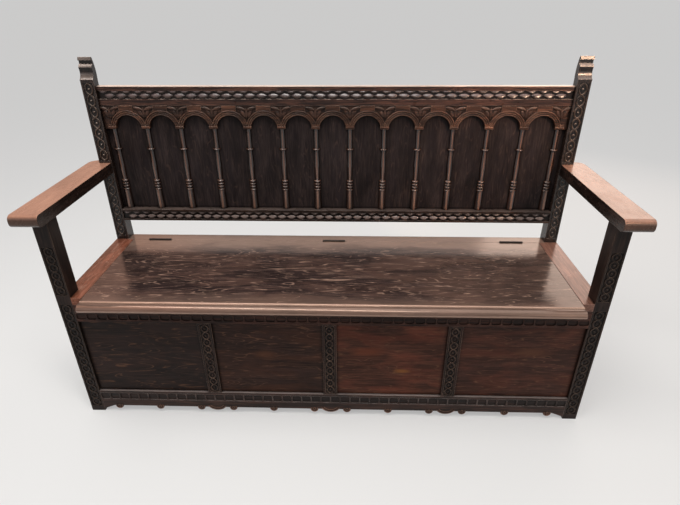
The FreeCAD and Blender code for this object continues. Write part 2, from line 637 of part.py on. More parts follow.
def muntin_tenon_block(name, place_number, low, high, slack="0"):
    middle = muntin_middle(place_number)
    half = f"(Sizes.muntin_width / 2 - {TONGUE} - Sizes.panel_play)"
    return block(name, f"{middle} - {half} - {slack}", f"{middle} + {half} + {slack}",
                 f"{GROOVE_FRONT} + {GAP} - {slack}", f"{GROOVE_BACK} - {GAP} + {slack}", low, high)


def front_tenons(name, low, high):
    bottom, top = tenon_span(low, high)
    reach = f"({POST_IN} + Sizes.tenon_length)"
    return block(name, f"-{reach}", reach, f"{GROOVE_FRONT} + {GAP}", f"{GROOVE_BACK} - {GAP}",
                 bottom, top)


def front_top_rail():
    name = "front_top_rail"
    board = block(name + "_board", f"-{POST_IN}", POST_IN, FRONT, f"{FRONT} + Sizes.rail_thickness",
                  RAIL_UNDER, RAIL_TOP)
    tenons = front_tenons(name + "_tenons", RAIL_UNDER, RAIL_TOP)
    tools = [block(name + "_groove", f"-{POST_IN}", POST_IN, GROOVE_FRONT, GROOVE_BACK,
                   RAIL_UNDER, f"{RAIL_UNDER} + Sizes.groove_depth")]
    for spot in MUNTINS:
        tools.append(muntin_tenon_block(
            name + "_mortise", spot, RAIL_UNDER,
            f"{RAIL_UNDER} + Sizes.muntin_tenon + Sizes.tenon_end_gap", GAP))
    low = f"{RAIL_UNDER} + Sizes.top_bed_low"
    tools.append(front_bed(name + "_bed", f"-{POST_IN}", POST_IN, low, f"{low} + Sizes.top_bed_height"))
    for side in SIDES.values():
        tools += front_peg_solids(name + "_peg_hole", side)
    keep(name, cut(name, fuse(name + "_whole", [board, tenons]), tools))


# Lower front rail: its lower edge is cut into lobes, small curls and a bracket at each foot.
def front_bottom_rail():
    name = "front_bottom_rail"
    body = new_body(name + "_board")
    sketch = new_sketch(body, name + "_outline", "XZ_Plane", f"-({FRONT})")
    inner = f"({POST_IN} - Sizes.bracket_length)"
    draw(sketch, [
        (f"-{POST_IN}", LOW_TOP),
        (f"-{POST_IN}", "Sizes.bracket_foot"),
        (f"-{inner}", "Sizes.apron_edge"),
        (inner, "Sizes.apron_edge"),
        (POST_IN, "Sizes.bracket_foot"),
        (POST_IN, LOW_TOP),
    ])
    pad(body, sketch, "Sizes.rail_thickness", backwards=True)
    pieces = [body, front_tenons(name + "_tenons", "Sizes.apron_edge", LOW_TOP)]
    for spot in MUNTINS:
        pieces.append(drop(name + "_lobe", muntin_middle(spot), "Sizes.lobe_radius", "Sizes.lobe_drop"))
        for side in SIDES.values():
            pieces.append(drop(name + "_curl", f"{muntin_middle(spot)} + {side} * Sizes.curl_offset",
                               "Sizes.curl_radius", "Sizes.curl_drop"))
    for side in SIDES.values():
        outer_panel = f"({POST_IN} + {MUNTIN_SPACING}) / 2"
        for middle in (f"{MUNTIN_SPACING} / 2", outer_panel, f"{POST_IN} - Sizes.curl_offset"):
            pieces.append(drop(name + "_curl", signed(side, middle),
                               "Sizes.curl_radius", "Sizes.curl_drop"))
    tools = [block(name + "_groove", f"-{POST_IN}", POST_IN, GROOVE_FRONT, GROOVE_BACK,
                   f"{LOW_TOP} - Sizes.groove_depth", LOW_TOP)]
    for spot in MUNTINS:
        tools.append(muntin_tenon_block(
            name + "_mortise", spot,
            f"{LOW_TOP} - Sizes.muntin_tenon - Sizes.tenon_end_gap", LOW_TOP, GAP))
    tools.append(block(name + "_floor_groove", f"-{POST_IN}", POST_IN,
                       f"{FRONT} + Sizes.rail_thickness - Sizes.floor_groove",
                       f"{FRONT} + Sizes.rail_thickness",
                       f"Sizes.floor_level - {GAP}",
                       f"Sizes.floor_level + Sizes.floor_thickness + {GAP}"))
    high = f"{LOW_TOP} - Sizes.apron_bed_drop"
    tools.append(front_bed(name + "_bed", f"-{POST_IN}", POST_IN,
                           f"{high} - Sizes.apron_bed_height", high))
    for side in SIDES.values():
        tools += front_peg_solids(name + "_peg_hole", side)
    keep(name, cut(name, fuse(name + "_whole", pieces), tools))


def drop(name, x, radius, amount):
    return cylinder(name, radius, "Sizes.rail_thickness", x, FRONT,
                    f"Sizes.apron_edge - {amount} + {radius}")


# Muntins: three carved uprights between the front panels.
def front_muntin(index, spot):
    name = f"front_muntin_{index}"
    middle = muntin_middle(spot)
    half = "Sizes.muntin_width / 2"
    board = block(name + "_board", f"{middle} - {half}", f"{middle} + {half}",
                  FRONT, f"{FRONT} + Sizes.muntin_thickness", LOW_TOP, RAIL_UNDER)
    tenon = muntin_tenon_block(name + "_tenon", spot, f"{LOW_TOP} - Sizes.muntin_tenon",
                               f"{RAIL_UNDER} + Sizes.muntin_tenon")
    inset = f"({half} - Sizes.muntin_bed_margin)"
    grooves = [front_bed(name + "_bed", f"{middle} - {inset}", f"{middle} + {inset}",
                         f"{LOW_TOP} + Sizes.muntin_bed_end", f"{RAIL_UNDER} - Sizes.muntin_bed_end")]
    for side in SIDES.values():
        edge = f"{middle} + {side} * {half}"
        inner = f"{edge} - {side} * Sizes.groove_depth"
        ends = (edge, inner) if side < 0 else (inner, edge)
        grooves.append(block(name + "_groove", ends[0], ends[1], GROOVE_FRONT, GROOVE_BACK,
                             LOW_TOP, RAIL_UNDER))
    keep(name, fuse(name, [cut(name + "_grooved", board, grooves), tenon]))


# Plain oak panels, loose in the grooves of the frame round them.
def front_panel(index, left, right):
    name = f"front_panel_{index}"
    keep(name, block(name, f"({left}) - {TONGUE}", f"({right}) + {TONGUE}",
                     f"{GROOVE_FRONT} + {GAP}", f"{GROOVE_BACK} - {GAP}",
                     f"{LOW_TOP} - {TONGUE}", f"{RAIL_UNDER} + {TONGUE}"))


def front_panels():
    half = "Sizes.muntin_width / 2"
    edges = [f"-{POST_IN}"]
    for spot in MUNTINS:
        edges += [f"{muntin_middle(spot)} - {half}", f"{muntin_middle(spot)} + {half}"]
    edges.append(POST_IN)
    for index in range(len(edges) // 2):
        front_panel(index + 1, edges[2 * index], edges[2 * index + 1])


# Side frames under the arms: two rails and one panel between a front and a rear post.
def side_rail(name, side, low, high, groove_low, groove_high, with_floor):
    board = side_block(name + "_board", side, SIDE_IN, SIDE_OUT, POST_REAR, BACK, low, high)
    bottom, top = tenon_span(low, high)
    tenons = side_block(name + "_tenons", side, f"{SIDE_GROOVE_IN} + {GAP}",
                        f"{SIDE_GROOVE_OUT} - {GAP}",
                        f"{POST_REAR} - Sizes.side_tenon_length",
                        f"{BACK} + Sizes.side_tenon_length", bottom, top)
    tools = [side_block(name + "_groove", side, SIDE_GROOVE_IN, SIDE_GROOVE_OUT,
                        POST_REAR, BACK, groove_low, groove_high)]
    if with_floor:
        tools.append(side_block(name + "_floor_groove", side, SIDE_IN,
                                f"{SIDE_IN} + Sizes.floor_groove", POST_REAR, BACK,
                                f"Sizes.floor_level - {GAP}",
                                f"Sizes.floor_level + Sizes.floor_thickness + {GAP}"))
    keep(name, cut(name, fuse(name + "_whole", [board, tenons]), tools))


def side_frame(word, side):
    side_rail(f"side_top_rail_{word}", side, RAIL_UNDER, RAIL_TOP,
              RAIL_UNDER, f"{RAIL_UNDER} + Sizes.groove_depth", False)
    side_rail(f"side_bottom_rail_{word}", side, "Sizes.rear_rail_bottom", LOW_TOP,
              f"{LOW_TOP} - Sizes.groove_depth", LOW_TOP, True)
    name = f"side_panel_{word}"
    keep(name, side_block(name, side, f"{SIDE_GROOVE_IN} + {GAP}", f"{SIDE_GROOVE_OUT} - {GAP}",
                          f"{POST_REAR} - {TONGUE}", f"{BACK} + {TONGUE}",
                          f"{LOW_TOP} - {TONGUE}", f"{RAIL_UNDER} + {TONGUE}"))


# Rear of the chest: two rails and one long plain panel.
def rear_rail(name, low, high, groove_low, groove_high, with_floor):
    board = block(name + "_board", f"-{REAR_IN}", REAR_IN, f"{REAR} - Sizes.rail_thickness", REAR,
                  low, high)
    bottom, top = tenon_span(low, high)
    reach = f"({REAR_IN} + Sizes.side_tenon_length)"
    tenons = block(name + "_tenons", f"-{reach}", reach, f"{REAR_GROOVE_FRONT} + {GAP}",
                   f"{REAR_GROOVE_BACK} - {GAP}", bottom, top)
    tools = [block(name + "_groove", f"-{REAR_IN}", REAR_IN, REAR_GROOVE_FRONT, REAR_GROOVE_BACK,
                   groove_low, groove_high)]
    if with_floor:
        face = f"{REAR} - Sizes.rail_thickness"
        tools.append(block(name + "_floor_groove", f"-{REAR_IN}", REAR_IN,
                           face, f"{face} + Sizes.floor_groove",
                           f"Sizes.floor_level - {GAP}",
                           f"Sizes.floor_level + Sizes.floor_thickness + {GAP}"))
    keep(name, cut(name, fuse(name + "_whole", [board, tenons]), tools))


def rear_frame():
    rear_rail("rear_top_rail", RAIL_UNDER, RAIL_TOP,
              RAIL_UNDER, f"{RAIL_UNDER} + Sizes.groove_depth", False)
    rear_rail("rear_bottom_rail", "Sizes.rear_rail_bottom", LOW_TOP,
              f"{LOW_TOP} - Sizes.groove_depth", LOW_TOP, True)
    keep("rear_panel", block("rear_panel", f"-({REAR_IN} + {TONGUE})", f"{REAR_IN} + {TONGUE}",
                             f"{REAR_GROOVE_FRONT} + {GAP}", f"{REAR_GROOVE_BACK} - {GAP}",
                             f"{LOW_TOP} - {TONGUE}", f"{RAIL_UNDER} + {TONGUE}"))


# Box floor: two long boards in the grooves of the lower rails, notched round the posts.
def floor_board(name, corners):
    body = new_body(name)
    sketch = new_sketch(body, name + "_outline", "XY_Plane")
    mirrored = [(f"-({x})", y) for x, y in reversed(corners)]
    draw(sketch, corners + mirrored)
    pad(body, sketch, "Sizes.floor_thickness")
    body.setExpression("Placement.Base.z", "Sizes.floor_level")
    keep(name, body)


def box_floor():
    tongue = "(Sizes.floor_groove - Sizes.tenon_end_gap)"
    wide = f"{SIDE_IN} + {tongue}"
    front_edge = f"{FRONT} + Sizes.rail_thickness - {tongue}"
    rear_edge = f"{REAR} - Sizes.rail_thickness + {tongue}"
    middle = f"{FRONT} + Sizes.floor_split"
    floor_board("box_floor_front", [
        (f"{POST_IN} - {GAP}", front_edge),
        (f"{POST_IN} - {GAP}", f"{POST_REAR} + {GAP}"),
        (wide, f"{POST_REAR} + {GAP}"),
        (wide, middle),
    ])
    floor_board("box_floor_rear", [
        (wide, f"{middle} + {GAP}"),
        (wide, f"{BACK} - {GAP}"),
        (f"{REAR_IN} - {GAP}", f"{BACK} - {GAP}"),
        (f"{REAR_IN} - {GAP}", rear_edge),
    ])


# Hinges: three iron butt hinges let into the joint between the lid and the strip behind it.
def hinge_middle(spot):
    return f"({spot} * ({REAR_IN} - Sizes.hinge_inset))"


def hinge_slot(name, spot):
    half = f"(Sizes.hinge_length / 2 + {GAP})"
    room = "(Sizes.hinge_radius + Sizes.hinge_room)"
    middle = hinge_middle(spot)
    return block(name, f"{middle} - {half}", f"{middle} + {half}", f"{JOINT} - {room}",
                 f"{JOINT} + {room}", f"{HINGE_AXIS} - {room}", f"{HINGE_AXIS} + {room}")


LEAF_TOP = f"({HINGE_AXIS} - Sizes.hinge_radius - Sizes.hinge_room)"


def leaf_faces(side):
    near = f"{JOINT} + {side} * Sizes.hinge_leaf_play"
    far = f"{near} + {side} * Sizes.hinge_leaf_thickness"
    return (near, far) if side > 0 else (far, near)


def leaf_recess(name, spot, side):
    half = f"(Sizes.hinge_length / 2 + {GAP})"
    middle = hinge_middle(spot)
    near, far = leaf_faces(side)
    low, high = (f"{JOINT}", f"{far} + {GAP}") if side > 0 else (f"{near} - {GAP}", f"{JOINT}")
    return block(name, f"{middle} - {half}", f"{middle} + {half}", low, high,
                 f"{LEAF_TOP} - Sizes.hinge_leaf_height - {GAP}", HINGE_AXIS)


def knuckle_ends(index):
    pitch = f"(Sizes.hinge_length / {KNUCKLES})"
    start = f"{index} * {pitch} - Sizes.hinge_length / 2 + {GAP} / 2"
    return start, f"{pitch} - {GAP}"


def hinge_leaf(name, spot, side):
    middle = hinge_middle(spot)
    near, far = leaf_faces(side)
    half = "Sizes.hinge_length / 2"
    pieces = [block(name + "_plate", f"{middle} - {half}", f"{middle} + {half}", near, far,
                    f"{LEAF_TOP} - Sizes.hinge_leaf_height", LEAF_TOP)]
    bore = "Sizes.hinge_pin_radius" if side > 0 else "Sizes.hinge_pin_radius + Sizes.hinge_pin_play"
    for index in range(0 if side > 0 else 1, KNUCKLES, 2):
        start, length = knuckle_ends(index)
        pieces.append(block(name + "_tab", f"{middle} + {start}", f"{middle} + {start} + {length}",
                            near, far, LEAF_TOP, HINGE_AXIS))
        pieces.append(cylinder(name + "_knuckle", "Sizes.hinge_radius", length,
                               f"{middle} + {start}", JOINT, HINGE_AXIS, along_y=False))
    holes = [screw(name + "_hole", x, side) for x in screw_spots(spot)]
    holes.append(cylinder(name + "_bore", bore, f"Sizes.hinge_length + 2 * {GAP}",
                          f"{middle} - {half} - {GAP}", JOINT, HINGE_AXIS, along_y=False))
    keep(name, cut(name, fuse(name + "_whole", pieces), holes))


def screw_spots(spot):
    return [f"{hinge_middle(spot)} + {step} * Sizes.screw_spacing" for step in (-1, 0, 1)]


def screw(name, x, side):
    # Countersunk head flush with the leaf, shank into the edge of the wood.
    near, far = leaf_faces(side)
    face = near if side > 0 else far
    level = f"{LEAF_TOP} - Sizes.hinge_leaf_height / 2"
    head = doc.addObject("Part::Cone", name + "_head")
    head.setExpression("Radius1", "Sizes.screw_head_radius")
    head.setExpression("Radius2", "Sizes.screw_radius")
    head.setExpression("Height", "Sizes.hinge_leaf_thickness")
    shank = doc.addObject("Part::Cylinder", name + "_shank")
    shank.setExpression("Radius", "Sizes.screw_radius")
    shank.setExpression("Height", "Sizes.screw_length")
    for item in (head, shank):
        item.Placement.Rotation = Rotation(Vector(-side, 0, 0), 90)
        place(item, x, face, level)
    return fuse(name, [head, shank])


def pin(name, spot):
    return cylinder(name, "Sizes.hinge_pin_radius", "Sizes.hinge_length",
                    f"{hinge_middle(spot)} - Sizes.hinge_length / 2", JOINT, HINGE_AXIS,
                    along_y=False)


def hinges():
    names = {-1: "left", 0: "middle", 1: "right"}
    for spot in HINGES:
        hinge_leaf(f"hinge_seat_leaf_{names[spot]}", spot, 1)
        hinge_leaf(f"hinge_lid_leaf_{names[spot]}", spot, -1)
    keep("hinge_pins", group("hinge_pins", [pin("hinge_pin", spot) for spot in HINGES]))
    for name, side in (("hinge_screws_seat", 1), ("hinge_screws_lid", -1)):
        screws = [screw(name + "_one", x, side) for spot in HINGES for x in screw_spots(spot)]
        keep(name, group(name, screws))


# Seat: a lid with a moulded front edge, a fixed strip at each end and one behind the hinges.
def hinge_cuts(name, side):
    tools = []
    for spot in HINGES:
        tools.append(hinge_slot(name + "_slot", spot))
        tools.append(leaf_recess(name + "_recess", spot, side))
        tools += [screw(name + "_pilot", x, side) for x in screw_spots(spot)]
    return tools


def seat_lid():
    name = "seat_lid"
    body = new_body(name + "_board")
    body.setExpression("Placement.Base.x", f"-{LID_END}")
    sketch = new_sketch(body, name + "_profile", "YZ_Plane")
    nose = f"({FRONT} - Sizes.lid_overhang)"
    bead = f"({nose} + Sizes.lid_bead)"
    step = f"({SEAT} - Sizes.lid_step)"
    draw(sketch, [
        (f"{JOINT} - Sizes.hinge_gap / 2", LID_UNDER),
        (f"{JOINT} - Sizes.hinge_gap / 2", SEAT),
        (f"{bead} + Sizes.lid_bead_round", SEAT, "Sizes.lid_bead_bulge"),
        (bead, step),
        (f"{bead} - Sizes.lid_groove", step, "Sizes.lid_nose_upper_bulge"),
        (nose, f"{LID_UNDER} + Sizes.lid_nose_level", "Sizes.lid_nose_lower_bulge"),
        (f"{nose} + Sizes.lid_nose_return", LID_UNDER),
    ])
    pad(body, sketch, f"2 * {LID_END}")
    keep(name, cut(name, body, hinge_cuts(name, -1)))


def seat_end_strip(word, side):
    name = f"seat_end_strip_{word}"
    body = new_body(name)
    sketch = new_sketch(body, name + "_outline", "XY_Plane")
    inner = f"{REAR_OUT} - Sizes.end_strip_width"
    corners = [
        (inner, FRONT),
        (f"{POST_IN} - {GAP}", FRONT),
        (f"{POST_IN} - {GAP}", f"{POST_REAR} + {GAP}"),
        (REAR_OUT, f"{POST_REAR} + {GAP}"),
        (REAR_OUT, f"{BACK} - {GAP}"),
        (f"{REAR_IN} - {GAP}", f"{BACK} - {GAP}"),
        (f"{REAR_IN} - {GAP}", JOINT),
        (inner, JOINT),
    ]
    draw(sketch, [(signed(side, x), y) for x, y in corners])
    pad(body, sketch, "Sizes.seat_thickness")
    body.setExpression("Placement.Base.z", RAIL_TOP)
    keep(name, body)


def seat_back_strip():
    name = "seat_back_strip"
    board = block(name + "_board", f"-({REAR_IN} - {GAP})", f"{REAR_IN} - {GAP}",
                  f"{JOINT} + Sizes.hinge_gap / 2", f"{FRONT} + Sizes.strip_rear", RAIL_TOP, SEAT)
    keep(name, cut(name, board, hinge_cuts(name, 1)))


def lid_batten(word, side):
    name = f"lid_batten_{word}"
    middle = f"({LID_END} - Sizes.batten_inset)"
    keep(name, side_block(name, side, f"{middle} - Sizes.batten_width / 2",
                          f"{middle} + Sizes.batten_width / 2",
                          f"{FRONT} + Sizes.batten_front", f"{FRONT} + Sizes.batten_rear",
                          f"{LID_UNDER} - Sizes.batten_thickness", LID_UNDER))


# Back: a crest rail, an arcaded board, split-turned spindles on a panel, and a lower rail.
def back_tenons(name, low, high):
    bottom, top = tenon_span(low, high)
    start, end = back_tenon_depths()
    reach = f"({REAR_IN} + Sizes.back_tenon)"
    return lean_block(name, f"-{reach}", reach, start, end, bottom, top)


def panel_groove(name, low, high):
    return lean_block(name, f"-{REAR_IN}", REAR_IN, "Sizes.back_panel_recess",
                      f"Sizes.back_panel_recess + Sizes.back_panel_thickness + 2 * {GAP}", low, high)


def crest_rail():
    name = "crest_rail"
    body = new_body(name + "_board")
    sketch = new_sketch(body, name + "_profile", "YZ_Plane")
    deep = "Sizes.back_rail_thickness"
    tall = "Sizes.crest_height"
    curve = "Sizes.crest_round"
    draw(sketch, [
        ("0", "0"),
        (deep, "0"),
        (deep, f"{tall} - {curve}", quarter(curve)),
        (f"{deep} - {curve}", tall),
        (curve, tall, quarter(curve)),
        ("0", f"{tall} - {curve}"),
    ])
    pad(body, sketch, f"2 * {REAR_IN}")
    lean(body, f"-{REAR_IN}", "Sizes.back_rail_recess", CREST_LEVEL)
    tenons = back_tenons(name + "_tenons", CREST_LEVEL, f"{CREST_LEVEL} + {tall}")
    tools = [panel_groove(name + "_groove", CREST_LEVEL, f"{CREST_LEVEL} + Sizes.back_groove_depth"),
             back_bed(name + "_bed", "Sizes.back_rail_recess", "Sizes.crest_bed_drop",
                      "Sizes.crest_bed_height", f"{CREST_LEVEL} + {tall}")]
    for side in SIDES.values():
        tools += back_peg_solids(name + "_peg_hole", side)
    keep(name, cut(name, fuse(name + "_whole", [body, tenons]), tools))


def arcade_rail():
    name = "arcade_rail"
    body = new_body(name + "_board")
    thick = "Sizes.back_panel_recess - Sizes.back_rail_recess"
    sketch = new_sketch(body, name + "_outline", "XZ_Plane")
    half = f"({REAR_IN} - {GAP})"
    draw(sketch, [
        (f"-{half}", "0"),
        (half, "0"),
        (half, f"Sizes.arcade_height - {GAP}"),
        (f"-{half}", f"Sizes.arcade_height - {GAP}"),
    ])
    pad(body, sketch, thick, backwards=True)
    opening = new_sketch(body, name + "_arch", "XZ_Plane")
    first = f"-({ARCHES} - 1) / 2 * {ARCH_PITCH}"
    opening.addGeometry(Part.Circle(Vector(number(first), 0, 0), Vector(0, 0, 1),
                                    number("Sizes.arch_radius")))
    for kind, amount, text in (("DistanceX", number(first), first), ("DistanceY", 0, None)):
        row = opening.addConstraint(Sketcher.Constraint(kind, 0, 3, amount))
        if text:
            opening.setExpression(f"Constraints[{row}]", text)
    row = opening.addConstraint(Sketcher.Constraint("Radius", 0, number("Sizes.arch_radius")))
    opening.setExpression(f"Constraints[{row}]", "Sizes.arch_radius")
    arch = body.newObject("PartDesign::Pocket", name + "_first_arch")
    arch.Profile = opening
    arch.Type = "ThroughAll"
    row_of_arches = body.newObject("PartDesign::LinearPattern", name + "_arches")
    row_of_arches.Originals = [arch]
    row_of_arches.Direction = (opening, ["H_Axis"])
    row_of_arches.setExpression("Length", f"({ARCHES} - 1) * {ARCH_PITCH}")
    row_of_arches.Occurrences = ARCHES
    body.Tip = row_of_arches
    lean(body, "0", "Sizes.back_rail_recess", "Sizes.arcade_level")
    sunk = "Sizes.back_rail_recess + Sizes.spandrel_depth"
    ground = lean_block(name + "_ground", f"-{REAR_IN}", REAR_IN, f"Sizes.back_rail_recess - {GAP}",
                        sunk, f"Sizes.arcade_level - {GAP}", CREST_LEVEL)
    raised = [lean_cylinder(
        name + "_archivolt", "Sizes.archivolt_radius", "Sizes.back_rail_recess",
        f"({index} - ({ARCHES} - 1) / 2) * {ARCH_PITCH}", "Sizes.back_rail_recess / 2",
        "Sizes.arcade_level") for index in range(ARCHES)]
    wide = f"({ARCH_PITCH} - Sizes.spandrel_width) / 2"
    for index in range(ARCHES):
        middle = f"({index} - ({ARCHES} - 1) / 2) * {ARCH_PITCH}"
        raised.append(lean_block(name + "_frieze", f"{middle} - {wide}", f"{middle} + {wide}", "0", sunk,
                                 "Sizes.arcade_level", CREST_LEVEL))
    keep(name, cut(name, body, [cut(name + "_spandrels", ground, raised)]))
    return arch


def back_panel():
    tongue = "(Sizes.back_groove_depth - Sizes.tenon_end_gap)"
    reach = f"({REAR_IN} + {tongue})"
    start = f"Sizes.back_panel_recess + {GAP}"
    keep("back_panel", lean_block("back_panel", f"-{reach}", reach, start,
                                  f"{start} + Sizes.back_panel_thickness",
                                  f"{SPINDLE_FOOT} - {tongue}", f"{CREST_LEVEL} + {tongue}"))


def back_bottom_rail():
    name = "back_bottom_rail"
    low = "Sizes.lower_rail_level"
    face = "Sizes.lower_rail_recess"
    board = lean_block(name + "_board", f"-{REAR_IN}", REAR_IN, face,
                       "Sizes.back_rail_recess + Sizes.back_rail_thickness", low, SPINDLE_FOOT)
    ledge = lean_block(name + "_ledge", f"-{REAR_IN}", REAR_IN, f"{face} - Sizes.ledge_projection",
                       face, f"{SPINDLE_FOOT} - Sizes.ledge_thickness", SPINDLE_FOOT)
    tools = [panel_groove(name + "_groove", f"{SPINDLE_FOOT} - Sizes.back_groove_depth", SPINDLE_FOOT),
             back_bed(name + "_bed", face, "Sizes.lower_bed_drop", "Sizes.lower_bed_height",
                      SPINDLE_FOOT)]
    for side in SIDES.values():
        tools += back_peg_solids(name + "_peg_hole", side)
    whole = fuse(name + "_whole", [board, ledge, back_tenons(name + "_tenons", low, SPINDLE_FOOT)])
    keep(name, cut(name, whole, tools))


def spindle(index):
    # Half-round turning planted on the panel between the lower rail and an impost of the arcade.
    name = f"spindle_{index + 1:02d}"
    body = new_body(name)
    sketch = new_sketch(body, name + "_profile", "XZ_Plane")
    tall = f"(Sizes.arcade_level - {SPINDLE_FOOT} - {GAP})"
    base = "Sizes.spindle_base_length"
    shaft = "Sizes.spindle_shaft_radius"
    ring = "Sizes.spindle_ring_radius"
    pitch = "(Sizes.spindle_ring_height + Sizes.spindle_ring_space)"
    collar = "Sizes.spindle_collar_level"
    thin = "Sizes.spindle_collar_height"
    neck = "Sizes.spindle_neck_radius"
    corners = [("0", "0"),
               ("Sizes.spindle_base_radius", "0"),
               ("Sizes.spindle_base_radius - Sizes.spindle_base_taper", base),
               (shaft, base)]
    first = f"{base} + Sizes.spindle_base_groove"
    for count in range(RINGS):
        low = f"{first} + {count} * {pitch}"
        corners += [(shaft, low, f"{ring} - {shaft}"),
                    (shaft, f"{low} + Sizes.spindle_ring_height")]
    corners += [("Sizes.spindle_swell_radius", "Sizes.spindle_swell_level"),
                ("Sizes.spindle_throat_radius", f"{collar} - {thin}"),
                ("Sizes.spindle_collar_radius", f"{collar} - {thin} / 2"),
                ("Sizes.spindle_collar_radius", f"{collar} + {thin} / 2"),
                (neck, f"{collar} + {thin}"),
                (neck, tall),
                ("0", tall)]
    draw(sketch, corners)
    turn_half(body, sketch)
    x = f"({index} - {ARCHES} / 2) * {ARCH_PITCH}"
    lean(body, x, "Sizes.back_panel_recess", SPINDLE_FOOT)
    keep(name, body)


def pegs():
    solids = []
    for side in SIDES.values():
        solids += front_peg_solids("front_peg", side)
        solids += back_peg_solids("back_peg", side)
    keep("joint_pegs", group("joint_pegs", solids))


for word, side in SIDES.items():
    front_post(word, side)
    blank = rear_post_blank(word, side)
    rear_post(word, side, blank)
    arm(word, side, blank)
    side_frame(word, side)
    seat_end_strip(word, side)
    lid_batten(word, side)
front_top_rail()
front_bottom_rail()
for index, spot in enumerate(MUNTINS, start=1):
    front_muntin(index, spot)
front_panels()
rear_frame()
box_floor()
hinges()
seat_lid()
seat_back_strip()
crest_rail()
arcade_arch = arcade_rail()
back_panel()
back_bottom_rail()
for index in range(ARCHES + 1):
    spindle(index)
pegs()

doc.recompute()

for item in doc.Objects:
    if "Invalid" in item.State or "Error" in item.State:
        raise RuntimeError(f"{item.Label} is in state {item.State}")
if arcade_arch.Shape.Volume >= arcade_arch.BaseFeature.Shape.Volume:
    raise RuntimeError("the first arch cut nothing")
for name, item in nodes.items():
    shape = item.Shape
    if shape.isNull() or not shape.isValid():
        raise RuntimeError(f"{name} has no valid shape")
for name, item in nodes.items():
    item.Shape.exportStep(f"parts/{name}.step")
print(len(nodes), "nodes written")
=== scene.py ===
import math

import bpy
from mathutils import Matrix, Vector


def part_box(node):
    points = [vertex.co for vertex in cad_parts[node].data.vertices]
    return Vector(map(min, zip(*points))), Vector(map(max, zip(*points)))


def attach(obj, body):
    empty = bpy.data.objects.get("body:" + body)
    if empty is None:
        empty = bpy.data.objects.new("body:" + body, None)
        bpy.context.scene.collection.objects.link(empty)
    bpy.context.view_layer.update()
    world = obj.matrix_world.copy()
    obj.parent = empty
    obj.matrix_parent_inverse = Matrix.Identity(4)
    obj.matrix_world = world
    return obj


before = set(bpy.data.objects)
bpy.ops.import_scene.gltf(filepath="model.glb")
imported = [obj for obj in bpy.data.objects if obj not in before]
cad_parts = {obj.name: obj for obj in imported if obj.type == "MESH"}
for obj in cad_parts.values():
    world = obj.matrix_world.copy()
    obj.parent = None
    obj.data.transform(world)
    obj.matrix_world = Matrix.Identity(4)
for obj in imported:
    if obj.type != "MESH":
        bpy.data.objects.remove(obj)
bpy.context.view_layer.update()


# Front posts: square-sawn oak, mortised for the rails and pegged. Their front faces are cut back
# between plain borders and carved with a chain of interlaced rings, a pellet in each eye.
MM = 0.001


def linear(code):
    channels = [int(code[place:place + 2], 16) / 255 for place in (1, 3, 5)]
    return tuple(c / 12.92 if c < 0.04045 else ((c + 0.055) / 1.055) ** 2.4 for c in channels) + (1,)


def add(tree, kind, inputs, **settings):
    node = tree.nodes.new(kind)
    for name, value in settings.items():
        setattr(node, name, value)
    for socket, value in inputs.items():
        if isinstance(value, bpy.types.NodeSocket):
            tree.links.new(value, node.inputs[socket])
        else:
            node.inputs[socket].default_value = value
    return node


